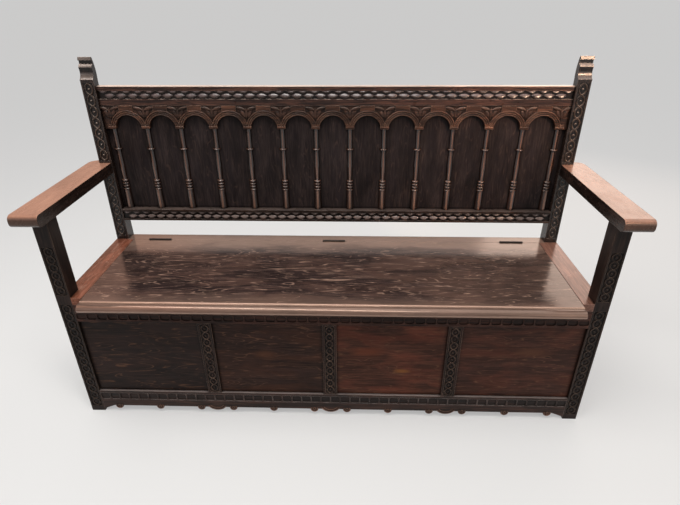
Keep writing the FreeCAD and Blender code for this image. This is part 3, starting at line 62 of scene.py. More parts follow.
def oak(name, heart, vein, wear_and_highlight, grain, roughness, start, shine=0.5, wear=0.6, grime_and_shade=0.75,
        sheen="#ffffff", figure=0.0, flush=None, arris_width=2.2, worn_and_lit_faces=(), knots=(), worn_and_lit_bands=(),
        sunk_ground_shade=None, streaks=0.36, clouds=0.4):
    """Waxed oak: heart and vein are the wood between and in its dark lines, wear_and_highlight the colour
    of its paler places, both wear and painted highlight.

    grain is the axis that the board runs along, start the place it was cut from, and sheen the
    colour of its gloss. worn_and_lit_faces, worn_and_lit_bands and sunk_ground_shade are the faces,
    bands and grounds painted paler, as wear and as painted highlight and reflection, or painted darker, as
    painted shade.
    """
    material = bpy.data.materials.new(name)
    material.use_nodes = True
    tree = material.node_tree
    tree.nodes.clear()
    place = add(tree, "ShaderNodeTexCoord", {})

    def along(mm_along, mm_across):
        sizes = [1 / (mm_across * MM)] * 3
        sizes["xyz".index(grain)] = 1 / (mm_along * MM)
        return add(tree, "ShaderNodeMapping", {
            "Vector": place.outputs["Object"], "Scale": sizes,
            "Location": (start * 3.1, start * 1.7, start * 2.3)}).outputs["Vector"]

    # Growth rings cut lengthwise: bands about 10 mm wide that wander and break along the board.
    rings = add(tree, "ShaderNodeTexNoise", {
        "Vector": along(150, 10), "Scale": 1.0, "Detail": 5.0, "Roughness": 0.65, "Distortion": 1.4})
    # Fibre bundles, drawn 2.2 mm wide because the real 0.3 mm ones are finer than the render.
    fibres = add(tree, "ShaderNodeTexNoise", {
        "Vector": along(34, 2.2), "Scale": 1.0, "Detail": 3.0, "Roughness": 0.7, "Distortion": 0.4})
    # Cloudy depth of the stain, about a hand wide.
    stain = add(tree, "ShaderNodeTexNoise", {
        "Vector": along(190, 55), "Scale": 1.0, "Detail": 3.0, "Roughness": 0.55, "Distortion": 0.6})
    lines = add(tree, "ShaderNodeMapRange", {
        "Value": rings.outputs["Fac"], "From Min": 0.4, "From Max": 0.62, "To Min": 0.0, "To Max": 1.0},
        interpolation_type="SMOOTHSTEP")
    wood = add(tree, "ShaderNodeMix", {
        "Factor": lines.outputs["Result"], "A": linear(vein), "B": linear(heart)}, data_type="RGBA")
    if flush:
        # Redder patches where the stain took more.
        split = add(tree, "ShaderNodeSeparateColor", {"Color": stain.outputs["Color"]})
        patch = add(tree, "ShaderNodeMapRange", {
            "Value": split.outputs["Green"], "From Min": 0.44, "From Max": 0.62,
            "To Min": 0.0, "To Max": 0.75})
        wood = add(tree, "ShaderNodeMix", {
            "Factor": patch.outputs["Result"], "A": wood.outputs["Result"], "B": linear(flush)},
            data_type="RGBA")
    streak = add(tree, "ShaderNodeMapRange", {
        "Value": fibres.outputs["Fac"], "From Min": 0.3, "From Max": 0.7,
        "To Min": 1 - streaks, "To Max": 1 + streaks})
    cloud = add(tree, "ShaderNodeMapRange", {
        "Value": stain.outputs["Fac"], "From Min": 0.3, "From Max": 0.7,
        "To Min": 1 - clouds, "To Max": 1 + clouds})
    shade = add(tree, "ShaderNodeMath", {
        0: streak.outputs["Result"], 1: cloud.outputs["Result"]}, operation="MULTIPLY")

    # Arrises rubbed pale: where a rounded copy of the surface turns away from the true one.
    rounded = add(tree, "ShaderNodeBevel", {"Radius": arris_width * MM}, samples=4)
    true = add(tree, "ShaderNodeNewGeometry", {})
    turn = add(tree, "ShaderNodeVectorMath", {
        0: rounded.outputs["Normal"], 1: true.outputs["Normal"]}, operation="DOT_PRODUCT")
    rub = add(tree, "ShaderNodeTexNoise", {
        "Vector": along(40, 18), "Scale": 1.0, "Detail": 3.0, "Roughness": 0.65})
    arris = add(tree, "ShaderNodeMapRange", {
        "Value": turn.outputs["Value"], "From Min": 0.995, "From Max": 0.9, "To Min": 0.0, "To Max": wear})
    patchy = add(tree, "ShaderNodeMapRange", {
        "Value": rub.outputs["Fac"], "From Min": 0.34, "From Max": 0.6, "To Min": 0.15, "To Max": 1.0})
    wear_and_highlight_mask = add(tree, "ShaderNodeMath", {
        0: arris.outputs["Result"], 1: patchy.outputs["Result"]}, operation="MULTIPLY")
    if figure:
        # The figure of flat-sawn oak: pale lines that wander, close in long loops and break.
        swirl = add(tree, "ShaderNodeTexNoise", {
            "Vector": along(250, 32), "Scale": 1.0, "Detail": 2.0, "Roughness": 0.45, "Distortion": 0.9})
        steps = add(tree, "ShaderNodeMath", {0: swirl.outputs["Fac"], 1: 17.0}, operation="MULTIPLY")
        loops = add(tree, "ShaderNodeMath", {0: steps.outputs["Value"], 1: 1.0}, operation="PINGPONG")
        line = add(tree, "ShaderNodeMapRange", {
            "Value": loops.outputs["Value"], "From Min": 0.76, "From Max": 0.98,
            "To Min": 0.0, "To Max": figure})
        broken = add(tree, "ShaderNodeMapRange", {
            "Value": rub.outputs["Fac"], "From Min": 0.4, "From Max": 0.6,
            "To Min": 0.15, "To Max": 1.0})
        stroke = add(tree, "ShaderNodeMath", {
            0: line.outputs["Result"], 1: broken.outputs["Result"]}, operation="MULTIPLY")
        wear_and_highlight_mask = add(tree, "ShaderNodeMath", {
            0: wear_and_highlight_mask.outputs["Value"], 1: stroke.outputs["Value"]}, operation="MAXIMUM")
    for axis, begin, full, amount in worn_and_lit_faces:
        # Faces turned one way are painted paler: wear from hands and dusters, and a painted highlight
        # where the light falls on them.
        aim = add(tree, "ShaderNodeSeparateXYZ", {"Vector": true.outputs["Normal"]})
        front = add(tree, "ShaderNodeMapRange", {
            "Value": aim.outputs[axis], "From Min": begin, "From Max": full,
            "To Min": 0.0, "To Max": amount})
        wear_and_highlight_mask = add(tree, "ShaderNodeMath", {
            0: wear_and_highlight_mask.outputs["Value"], 1: front.outputs["Result"]}, operation="MAXIMUM")
    if worn_and_lit_bands:
        spot = add(tree, "ShaderNodeSeparateXYZ", {"Vector": place.outputs["Object"]})
    for axis, begin, full, amount in worn_and_lit_bands:
        # A band painted paler, as wear and as painted highlight and reflection, or spared where the amount
        # is negative, with a ragged border.
        fray = 1.6 * abs(full - begin)
        ragged = add(tree, "ShaderNodeMath", {
            0: stain.outputs["Fac"], 1: fray, 2: spot.outputs[axis]}, operation="MULTIPLY_ADD")
        band = add(tree, "ShaderNodeMapRange", {
            "Value": ragged.outputs["Value"], "From Min": begin + fray / 2, "From Max": full + fray / 2,
            "To Min": 0.0, "To Max": abs(amount)})
        if amount > 0:
            wear_and_highlight_mask = add(tree, "ShaderNodeMath", {
                0: wear_and_highlight_mask.outputs["Value"], 1: band.outputs["Result"]}, operation="MAXIMUM")
        else:
            spared = add(tree, "ShaderNodeMath", {0: 1.0, 1: band.outputs["Result"]},
                         operation="SUBTRACT")
            wear_and_highlight_mask = add(tree, "ShaderNodeMath", {
                0: wear_and_highlight_mask.outputs["Value"], 1: spared.outputs["Value"]}, operation="MULTIPLY")

    # Darker in corners and in the grounds of the carving: dark wax and dust, and painted shade.
    corner = add(tree, "ShaderNodeAmbientOcclusion", {"Distance": 12 * MM}, samples=6)
    wax_and_shade = add(tree, "ShaderNodeMapRange", {
        "Value": corner.outputs["AO"], "From Min": 0.42, "From Max": 0.93,
        "To Min": 1.0 - grime_and_shade, "To Max": 1.0})
    wax_and_shade = wax_and_shade.outputs["Result"]
    if sunk_ground_shade:
        # The ground of the carving, cut back behind the face and painted dark as the shade that falls in
        # it.
        rake, level, share = sunk_ground_shade
        depth = add(tree, "ShaderNodeVectorMath", {
            0: place.outputs["Object"], 1: (0, math.cos(rake), -math.sin(rake))},
            operation="DOT_PRODUCT")
        behind = add(tree, "ShaderNodeMapRange", {
            "Value": depth.outputs["Value"], "From Min": level, "From Max": level + 1 * MM,
            "To Min": 0.0, "To Max": share})
        ahead = add(tree, "ShaderNodeSeparateXYZ", {"Vector": true.outputs["Normal"]})
        front = add(tree, "ShaderNodeMapRange", {
            "Value": ahead.outputs["Y"], "From Min": -0.3, "From Max": -0.6,
            "To Min": 0.0, "To Max": 1.0})
        ground = add(tree, "ShaderNodeMath", {
            0: behind.outputs["Result"], 1: front.outputs["Result"]}, operation="MULTIPLY")
        bare = add(tree, "ShaderNodeMath", {0: 1.0, 1: ground.outputs["Value"]},
                   operation="SUBTRACT")
        wax_and_shade = add(tree, "ShaderNodeMath", {0: wax_and_shade, 1: bare.outputs["Value"]},
                  operation="MULTIPLY").outputs["Value"]
    toned = add(tree, "ShaderNodeVectorMath", {
        0: wood.outputs["Result"], "Scale": shade.outputs["Value"]}, operation="SCALE")
    soft = add(tree, "ShaderNodeMapRange", {
        "Value": shade.outputs["Value"], "From Min": 0.5, "From Max": 1.6,
        "To Min": 0.72, "To Max": 1.22})
    pale = add(tree, "ShaderNodeVectorMath", {
        0: linear(wear_and_highlight)[:3], "Scale": soft.outputs["Result"]}, operation="SCALE")
    colour = add(tree, "ShaderNodeMix", {
        "Factor": wear_and_highlight_mask.outputs["Value"], "A": toned.outputs["Vector"],
        "B": pale.outputs["Vector"]}, data_type="RGBA")
    for across, up, length, height, tone in knots:
        # A knot: an oval of redder, brighter wood, drawn out along the grain.
        near = add(tree, "ShaderNodeMapping", {
            "Vector": place.outputs["Object"], "Scale": (1 / length, 0, 1 / height),
            "Location": (-across / length, 0, -up / height)})
        wobble = add(tree, "ShaderNodeVectorMath", {
            0: near.outputs["Vector"], 1: rings.outputs["Color"]}, operation="ADD")
        reach = add(tree, "ShaderNodeVectorMath", {
            0: wobble.outputs["Vector"], 1: (0.5, 0.5, 0.5)}, operation="DISTANCE")
        oval = add(tree, "ShaderNodeMapRange", {
            "Value": reach.outputs["Value"], "From Min": 1.1, "From Max": 0.35,
            "To Min": 0.0, "To Max": 0.8})
        colour = add(tree, "ShaderNodeMix", {
            "Factor": oval.outputs["Result"], "A": colour.outputs["Result"], "B": linear(tone)},
            data_type="RGBA")

    colour = add(tree, "ShaderNodeVectorMath", {
        0: colour.outputs["Result"], "Scale": wax_and_shade}, operation="SCALE")
    gloss = add(tree, "ShaderNodeMapRange", {
        "Value": rub.outputs["Fac"], "From Min": 0.3, "From Max": 0.7,
        "To Min": roughness - 0.05, "To Max": roughness + 0.08})
    relief = add(tree, "ShaderNodeBump", {
        "Height": fibres.outputs["Fac"], "Normal": rounded.outputs["Normal"],
        "Strength": 0.3, "Distance": 0.2 * MM})
    surface = add(tree, "ShaderNodeBsdfPrincipled", {
        "Base Color": colour.outputs["Vector"], "Roughness": gloss.outputs["Result"],
        "Normal": relief.outputs["Normal"], "IOR": 1.5, "Specular IOR Level": shine,
        "Specular Tint": linear(sheen)})
    add(tree, "ShaderNodeOutputMaterial", {"Surface": surface.outputs["BSDF"]})
    return material


def dress(material, *names):
    for name in names:
        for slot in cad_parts[name].material_slots:
            slot.material = material


def finish_unit(unit, angle):
    bpy.ops.object.mode_set(mode="EDIT")
    bpy.ops.mesh.select_all(action="SELECT")
    bpy.ops.mesh.remove_doubles(threshold=1e-6)
    bpy.ops.mesh.normals_make_consistent(inside=False)
    bpy.ops.object.mode_set(mode="OBJECT")
    bpy.ops.object.transform_apply(location=True, rotation=True, scale=True)
    bpy.ops.object.shade_smooth_by_angle(angle=math.radians(angle))
    return unit


def carve(name, unit, places, material):
    """Copies one carved unit to each place, and joins the copies into one piece."""
    bpy.ops.object.select_all(action="DESELECT")
    for spot in places:
        one = unit.copy()
        one.data = unit.data.copy()
        one.data.transform(spot)
        bpy.context.collection.objects.link(one)
        one.select_set(True)
        bpy.context.view_layer.objects.active = one
    bpy.ops.object.join()
    piece = bpy.context.view_layer.objects.active
    piece.name = name
    piece.data.name = name
    piece.data.materials.clear()
    piece.data.materials.append(material)
    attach(piece, "frame")


def discard(*units):
    for unit in units:
        bpy.data.objects.remove(unit)


def at(x, y, z, turn=0.0, tip=0.0, grow=(1, 1, 1)):
    # A place for a carved unit: turned on the face, its foot tipped forward, and stretched.
    return (Matrix.Translation((x, y, z)) @ Matrix.Rotation(turn, 4, "Y")
            @ Matrix.Rotation(-tip, 4, "X") @ Matrix.Diagonal((grow[0], grow[1], grow[2], 1)))


def choose(unit, kind, test):
    # Selects the vertices or faces of a unit whose middle passes a test, and enters edit mode.
    bpy.ops.object.mode_set(mode="OBJECT")
    mesh = unit.data
    for element in list(mesh.vertices) + list(mesh.edges) + list(mesh.polygons):
        element.select = False
    for vertex in mesh.vertices:
        vertex.select = kind == "VERT" and test(vertex.co)
    for face in mesh.polygons:
        face.select = kind == "FACE" and test(face.center)
    bpy.context.tool_settings.mesh_select_mode = (kind == "VERT", False, kind == "FACE")
    bpy.ops.object.mode_set(mode="EDIT")


def strand_unit(half_width, half_height, thickness):
    # Two strands of the chain from one crossing to the next: arcs that meet in a point at each end.
    bpy.ops.object.select_all(action="DESELECT")
    radius = (half_height ** 2 + half_width ** 2) / (2 * half_width)
    bpy.ops.mesh.primitive_torus_add(
        major_segments=28, minor_segments=6, major_radius=radius, minor_radius=thickness,
        location=(half_width - radius, 0, 0), rotation=(math.pi / 2, 0, 0))
    unit = bpy.context.object
    bpy.ops.object.transform_apply(location=True, rotation=True, scale=True)
    bpy.ops.object.mode_set(mode="EDIT")
    bpy.ops.mesh.select_all(action="SELECT")
    bpy.ops.mesh.bisect(plane_co=(0, 0, 0), plane_no=(1, 0, 0), clear_inner=True, use_fill=True)
    bpy.ops.mesh.select_all(action="SELECT")
    bpy.ops.mesh.duplicate()
    bpy.ops.transform.rotate(value=math.pi, orient_axis="Z", center_override=(0, 0, 0))
    bpy.ops.object.mode_set(mode="OBJECT")
    return finish_unit(unit, 60)


def pellet_unit(radius):
    bpy.ops.object.select_all(action="DESELECT")
    bpy.ops.mesh.primitive_uv_sphere_add(segments=10, ring_count=6, radius=radius)
    return finish_unit(bpy.context.object, 60)


# Carving stands CARVING proud of its ground, and wood more than CUT behind a face is ground, painted dark
# as shade.
CARVING = 2.5 * MM
CUT = 1.2 * MM
link_half_width, link_half_height = 11.5 * MM, 17.5 * MM
link_flatness = 0.78
strand = strand_unit(link_half_width, link_half_height, thickness=3.2 * MM)
pellet = pellet_unit(radius=3.9 * MM)


def chain(name, x, low, high, pitch, material, half_width=link_half_width,
          lean=Matrix.Identity(4)):
    # Links from low to high, each crossing into the next, on the ground of a bed.
    count = round((high - low) / pitch)
    step = (high - low) / count
    middles = [low + step * (index + 0.5) for index in range(count)]
    grow = (half_width / link_half_width, link_flatness, step / (2 * link_half_height))
    carve(name + "_chain", strand, [lean @ at(x, CARVING, z, grow=grow) for z in middles],
          material)
    carve(name + "_pellets", pellet, [lean @ at(x, CARVING, z) for z in middles], material)


# Fumed and waxed nearly black, with a low gloss, and worn paler along the arrises of the carving.
post_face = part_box("front_post_left")[0].y
# The ground round the chain is painted darker, as painted shade.
post_oak = oak("fumed_oak_posts", "#2d211d", "#17110f", "#85705f", "z", 0.42, shine=0.16, wear=0.6,
               grime_and_shade=0.85, sunk_ground_shade=(0, post_face + CUT, 0.5), start=1)
dress(post_oak, "front_post_left", "front_post_right")
post_link = 28 * MM
for word in ("left", "right"):
    low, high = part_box(f"front_post_{word}")
    middle = (low.x + high.x) / 2
    surface = Matrix.Translation((0, low.y, 0))
    for part, foot, top in (("lower", 24, 428), ("upper", 465, 621)):
        chain(f"post_{word}_{part}", middle, foot * MM, top * MM, post_link, post_oak,
              lean=surface)


# Rear posts: taller oak posts that lean back a little and end in a rolled scroll. The same chain
# is carved up their faces, in one run from the seat to the arm and one from the arm to the scroll.
RAKE = math.radians(0.8)
post_thickness = 46 * MM
seat_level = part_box("seat_lid")[1].z
back_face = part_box("rear_post_left")[1].y - post_thickness
# leaning takes a place along the bench, behind the posts' face and up it from the seat.
leaning = Matrix.Translation((0, back_face, seat_level)) @ Matrix.Rotation(-RAKE, 4, "X")
leaning_face = back_face * math.cos(RAKE) - seat_level * math.sin(RAKE)
# As dark as the front posts but glossier. Faces turning upwards are painted paler as a highlight, most on
# the roll of the scroll, between 1043 and 1060 mm up, and the ground round the chain is painted darker as
# shade.
rear_post_oak = oak("fumed_oak_rear_posts", "#30231d", "#18110f", "#bfb0a8", "z", 0.24, shine=0.34,
                    wear=0.5, grime_and_shade=0.85, worn_and_lit_faces=(("Z", 0.05, 0.35, 0.85),),
                    worn_and_lit_bands=(("Z", 1043 * MM, 1039 * MM, -0.6), ("Z", 1060 * MM, 1063 * MM, -0.5)),
                    sunk_ground_shade=(RAKE, leaning_face + CUT, 0.55), start=1)
# The links catch the light from above along their upper edges.
chain_oak = oak("carved_oak_rear_chains", "#3a2a20", "#1a1310", "#a59388", "z", 0.3, shine=0.25,
                wear=0.4, grime_and_shade=0.9, worn_and_lit_faces=(("Z", 0.15, 0.6, 0.75),), start=1)
dress(rear_post_oak, "rear_post_left", "rear_post_right")
rear_post_link = 38 * MM
for word in ("left", "right"):
    low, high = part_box(f"rear_post_{word}")
    middle = (low.x + high.x) / 2
    for part, foot, top in (("lower", 16, 242), ("upper", 293, 542)):
        chain(f"rear_post_{word}_{part}", middle, foot * MM, top * MM, rear_post_link, chain_oak,
              lean=leaning)


# Arms: flat oak boards with a rounded nose, notched over the front posts and pegged. Hands and
# sleeves have polished their tops glossy; the tops are painted pale, partly wear and partly a painted
# reflection of the bright room behind, the fronts a little paler too, and the sides keep the dark stain.
arm_oak = oak("polished_oak_arms_painted_reflection", "#231815", "#140e0c", "#916a58", "y", 0.25, shine=0.5,
              sheen="#ffe8da", wear=0.45, figure=0.1,
              worn_and_lit_faces=(("Z", 0.25, 0.8, 0.95), ("Y", -0.6, -0.9, 0.2)), start=2)
dress(arm_oak, "arm_left", "arm_right")


# Upper front rail: oak, tenoned between the posts, with a row of gouged flutes under the lid.
# Brown-black and dull, because the lid shades it and no hand reaches it. The ground round the flutes is
# painted darker, as painted shade.
def cell_unit(width, height, rib, corner):
    # The wood left round one gouged flute: a plate with a round-cornered opening.
    bpy.ops.object.select_all(action="DESELECT")
    bpy.ops.mesh.primitive_plane_add(size=1, rotation=(math.pi / 2, 0, 0))
    unit = bpy.context.object
    unit.scale = (width, height, 1)
    bpy.ops.object.transform_apply(location=True, rotation=True, scale=True)
    choose(unit, "FACE", lambda middle: True)
    bpy.ops.mesh.inset(thickness=rib)
    choose(unit, "VERT", lambda spot: abs(spot.x) < width / 2 - rib / 2
           and abs(spot.z) < height / 2 - rib / 2)
    bpy.ops.mesh.bevel(offset=corner, segments=4, affect="VERTICES")
    choose(unit, "FACE", lambda middle: middle.length < rib / 4)
    bpy.ops.mesh.delete(type="FACE")
    choose(unit, "FACE", lambda middle: True)
    bpy.ops.mesh.extrude_region_move(TRANSFORM_OT_translate={"value": (0, -CARVING, 0)})
    bpy.ops.object.mode_set(mode="OBJECT")
    return finish_unit(unit, 30)


low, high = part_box("front_top_rail")
post_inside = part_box("front_post_right")[0].x
flutes = 48
flute_width = 2 * post_inside / flutes


def fluting(name, face, level, height, rib, corner, material):
    # A row of flutes from post to post, their middles at one level.
    flute = cell_unit(flute_width, height, rib, corner)
    carve(name, flute, [
        at((index + 0.5 - flutes / 2) * flute_width, face + CARVING, level)
        for index in range(flutes)], material)
    discard(flute)


rail_oak = oak("fumed_oak_front_rails", "#4a3028", "#261814", "#6d564c", "x", 0.45, shine=0.14,
               wear=0.4, sunk_ground_shade=(0, low.y + CUT, 0.4), start=3)
dress(rail_oak, "front_top_rail")
fluting("top_rail_flutes", low.y, level=low.z + 18.5 * MM, height=24 * MM, rib=1.5 * MM,
        corner=7 * MM, material=rail_oak)


# Lower front rail: a taller row of flutes, and a lower edge sawn into lobes and small curls. Each
# lobe has a raised rim, and each curl a round eye cut with a gouge.
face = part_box("front_bottom_rail")[0].y
# Near black, with grey wear on the ribs. The ledge under the panels is painted grey where it faces up,
# partly dust and wear and partly painted highlight, and the ground of the flutes is painted darker as
# shade.
apron_oak = oak("fumed_oak_apron", "#432e27", "#231814", "#a09490", "x", 0.4, shine=0.2, wear=0.6,
                arris_width=2.4, worn_and_lit_faces=(("Z", 0.8, 0.95, 0.75),), sunk_ground_shade=(0, face + CUT, 0.55),
                start=4)
# The rims are rubbed to a warmer brown, because shoes and brooms touch them first.
rim_oak = oak("rubbed_oak_rims", "#7d5b4a", "#5c4236", "#a08474", "x", 0.4, shine=0.25, wear=0.5,
              grime_and_shade=0.9, start=4)
dress(apron_oak, "front_bottom_rail")
fluting("apron_flutes", face, level=66.5 * MM, height=29 * MM, rib=1.9 * MM, corner=6 * MM,
        material=apron_oak)


def rim_unit(radius, thickness, top):
    # A raised rim that follows a sawn lobe, open above where the lobe meets the straight edge.
    bpy.ops.object.select_all(action="DESELECT")
    bpy.ops.mesh.primitive_torus_add(
        major_segments=32, minor_segments=6, major_radius=radius, minor_radius=thickness,
        rotation=(math.pi / 2, 0, 0))
    unit = bpy.context.object
    bpy.ops.object.transform_apply(location=True, rotation=True, scale=True)
    bpy.ops.object.mode_set(mode="EDIT")
    bpy.ops.mesh.select_all(action="SELECT")
    bpy.ops.mesh.bisect(plane_co=(0, 0, top), plane_no=(0, 0, 1), clear_outer=True, use_fill=True)
    bpy.ops.object.mode_set(mode="OBJECT")
    return finish_unit(unit, 60)


muntins = [sum(corner.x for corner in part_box(f"front_muntin_{index}")) / 2 for index in (1, 2, 3)]
spacing = muntins[2]
curl_offset = 54 * MM
curls = [lobe + side * curl_offset for lobe in muntins for side in (-1, 1)]
curls += [side * spot for side in (-1, 1)
          for spot in (spacing / 2, (post_inside + spacing) / 2, post_inside - curl_offset)]
lobe_level, curl_level = 48.5 * MM, 24.5 * MM
for name, middles, level, radius, thickness, top in (
        ("lobe_outer_rims", muntins, lobe_level, 34, 2.3, -17),
        ("lobe_inner_rims", muntins, lobe_level, 26.5, 1.6, -14),
        ("curl_rims", curls, curl_level, 10.4, 2.2, 6),
        ("curl_eyes", curls, curl_level, 4.2, 1.5, 8)):
    rim = rim_unit(radius * MM, thickness * MM, top * MM)
    carve(name, rim, [at(x, face, level) for x in middles], rim_oak)
    discard(rim)


# Muntins: three oak uprights tenoned between the front rails, with a narrower chain down each.
# As dark as the posts, but rubbed a clear brown along every raised edge, and painted darker as shade in
# the ground of the chain.
muntin_oak = oak("fumed_oak_muntins", "#30211d", "#18110f", "#9c8170", "z", 0.4, shine=0.14,
                 wear=0.85, arris_width=2.6, grime_and_shade=0.85,
                 sunk_ground_shade=(0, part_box("front_muntin_1")[0].y + CUT, 0.5), start=5)
for index, x in enumerate(muntins, start=1):
    name = f"front_muntin_{index}"
    dress(muntin_oak, name)
    chain(name, x, low=97 * MM, high=361.5 * MM, pitch=26.4 * MM, material=muntin_oak,
          half_width=10.5 * MM,
          lean=Matrix.Translation((0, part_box(name)[0].y, 0)))
discard(strand, pellet)


# Front panels: wide oak boards, grain along the bench, loose in their grooves. Each took the stain
# differently: the left one is nearly black, the others redder, with a few amber knots.
# heart, vein and flush of each, and its knots: how far along and up, their size in metres and tone.
panel_oaks = [("#271e1c", "#1d1514", "#2d1f1b", ()),
              ("#35241f", "#251814", "#40281e", ((-0.205, 0.245, 0.040, 0.020, "#4f3324"),)),
              ("#513227", "#35201a", "#613529", ((0.228, 0.186, 0.030, 0.010, "#80532f"),
                                                 (0.115, 0.262, 0.06, 0.02, "#633626"))),
              ("#452c25", "#2e1d18", "#512f25", ((0.62, 0.27, 0.06, 0.02, "#553729"),))]
for index, (heart, vein, flush, knots) in enumerate(panel_oaks, start=1):
    panel_oak = oak(f"fumed_oak_front_panel_{index}", heart, vein, "#7d5a45", "x", 0.42, shine=0.12,
                    figure=0.45, streaks=0.3, clouds=0.3, flush=flush, knots=knots,
                    start=10 + 3 * index)
    dress(panel_oak, f"front_panel_{index}")


# Side and rear frames of the chest: plain oak rails, tenoned into the posts, and panels in their
# grooves. Stained as the front is, but left duller, and dullest at the rear.
side_oak = oak("fumed_oak_side_rails", "#35261f", "#1c1512", "#6f5a4c", "y", 0.45, shine=0.25,
               start=6)
dress(side_oak, "side_top_rail_left", "side_top_rail_right", "side_bottom_rail_left",
      "side_bottom_rail_right")
side_panel_oak = oak("fumed_oak_side_panels", "#402a21", "#221713", "#6a5348", "y", 0.45,
                     shine=0.25, start=7)
dress(side_panel_oak, "side_panel_left", "side_panel_right")
rear_oak = oak("fumed_oak_rear", "#3c2a22", "#211713", "#6a5348", "x", 0.55, shine=0.25, start=8)
dress(rear_oak, "rear_top_rail", "rear_bottom_rail", "rear_panel")


# Box floor, and the battens screwed under the lid: oak planed and left unpolished, so it shows the
# matt yellow-brown of bare wood.
inside_oak = oak("raw_oak_inside", "#6e5238", "#4a3524", "#8d7256", "x", 0.7, shine=0.2, start=9)
dress(inside_oak, "box_floor_front", "box_floor_rear", "lid_batten_left", "lid_batten_right")


# Seat: fixed strips at the ends and behind the hinges, and the lid between them, flat-sawn oak with
# a moulded front edge. Clothes have polished it to a gloss.
low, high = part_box("seat_lid")
# Dark, with pale loops of figure. The front edge, its beads, its lower edge and the back are painted
# paler, partly wear and partly painted highlight and reflection, and the right end a little paler as a
# painted reflection; the hollow between the beads and the underside are spared.
seat_oak = oak("polished_oak_seat", "#352928", "#281f1e", "#b0907f", "x", 0.14, shine=0.7,
               sheen="#ffdcc8", wear=0.8, figure=0.6, streaks=0.3, clouds=0.18, flush="#4b3832",
               start=30, worn_and_lit_bands=(
                   ("Y", low.y + 90 * MM, low.y + 40 * MM, 0.18),
                   ("X", 50 * MM, 420 * MM, 0.07),
                   ("Y", low.y + 33 * MM, low.y + 29 * MM, 0.95),
                   ("Y", low.y + 26 * MM, low.y + 24 * MM, -0.75),
                   ("Z", low.z + 12 * MM, low.z + 8 * MM, 0.95),
                   ("Z", low.z + 2 * MM, low.z + 1 * MM, -1.0),
                   ("Y", high.y - 95 * MM, high.y - 30 * MM, 0.4)))
# The end strips are painted paler than the lid, the right one more, as a painted reflection of the bright
# room beyond them.
left_strip_oak = oak("polished_oak_left_strip", "#875240", "#6c402f", "#b38d7c", "y", 0.24,
                     shine=0.3, sheen="#ffd2ba", wear=0.7, figure=0.4, streaks=0.2, start=31)
right_strip_oak = oak("oak_right_strip_painted_reflection", "#7f594b", "#6b4b40", "#ad867a", "y", 0.2,
                      shine=0.5, sheen="#ffdcce", wear=0.7, figure=0.4, streaks=0.15, start=32)
dress(seat_oak, "seat_lid", "seat_back_strip")
dress(left_strip_oak, "seat_end_strip_left")
dress(right_strip_oak, "seat_end_strip_right")


# Hinges: three butt hinges of wrought iron, let in flush and screwed to the lid and the rear strip.
# Age has left the iron brown-black, pitted and dull.
iron = bpy.data.materials.new("aged_wrought_iron")
iron.use_nodes = True
tree = iron.node_tree
tree.nodes.clear()
place = add(tree, "ShaderNodeTexCoord", {})
# Rust in spots about 4 mm wide.
scale_noise = add(tree, "ShaderNodeTexNoise", {
    "Vector": place.outputs["Object"], "Scale": 260.0, "Detail": 4.0})
rust = add(tree, "ShaderNodeMix", {
    "Factor": scale_noise.outputs["Fac"], "A": linear("#15110f"), "B": linear("#30261f")},
    data_type="RGBA")
pits = add(tree, "ShaderNodeBump", {
    "Height": scale_noise.outputs["Fac"], "Strength": 0.4, "Distance": 0.3 * MM})
metal = add(tree, "ShaderNodeBsdfPrincipled", {
    "Base Color": rust.outputs["Result"], "Metallic": 0.6, "Roughness": 0.55,
    "Normal": pits.outputs["Normal"]})
add(tree, "ShaderNodeOutputMaterial", {"Surface": metal.outputs["BSDF"]})
dress(iron, "hinge_pins", "hinge_screws_seat", "hinge_screws_lid")
for word in ("left", "middle", "right"):
    dress(iron, f"hinge_seat_leaf_{word}", f"hinge_lid_leaf_{word}")


# Crest rail: oak, tenoned between the rear posts, carved with two rows of nulling, one row half a
# petal along from the other, under a top edge painted bright, partly wear and partly painted highlight.
def petal_unit(half_width, half_height, depth, pinch):
    # A carved petal: a flattened dome, drawn in to narrow ends by pinch.
    bpy.ops.object.select_all(action="DESELECT")
    bpy.ops.mesh.primitive_uv_sphere_add(segments=16, ring_count=10, radius=1)
    unit = bpy.context.object
    bpy.ops.object.mode_set(mode="EDIT")
    bpy.ops.mesh.select_all(action="SELECT")
    bpy.ops.mesh.bisect(plane_co=(0, 0.2, 0), plane_no=(0, 1, 0), clear_outer=True, use_fill=True)
    for reach, squeeze in ((0.5, 0.5 + 0.5 * pinch), (0.8, pinch)):
        choose(unit, "VERT", lambda spot: abs(spot.x) > reach)
        bpy.ops.transform.resize(value=(1, 1, squeeze), center_override=(0, 0, 0))
    bpy.ops.object.mode_set(mode="OBJECT")
    unit.scale = (half_width, depth, half_height)
    return finish_unit(unit, 60)


nulled_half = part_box("crest_rail")[1].x - 22 * MM
petal_lap = 1.04


def nulling(name, petals, bed, levels, half_heights, material):
    # Two rows of petals along a rail, tipped forward at the foot, each lapping its neighbours. bed
    # is their depth behind the posts' face, and the lower row starts half a petal further along.
    pitch = 2 * nulled_half / petals
    for row, (word, depth, pinch, tip) in enumerate((("upper", 2.5, 0.35, 35), ("lower", 3, 0.4, 30))):
        petal = petal_unit(petal_lap * pitch / 2, half_heights[row] * MM, depth * MM, pinch)
        carve(f"{name}_nulling_{word}", petal, [
            leaning @ at((index + (1 - row) / 2 - petals / 2) * pitch, bed, levels[row] * MM,
                         tip=math.radians(tip))
            for index in range(row, petals)], material)
        discard(petal)


# How far behind the posts' face the petals' bed lies, and where the ground painted dark as shade begins.
crest_bed, crest_ground = 12 * MM, 9.5 * MM
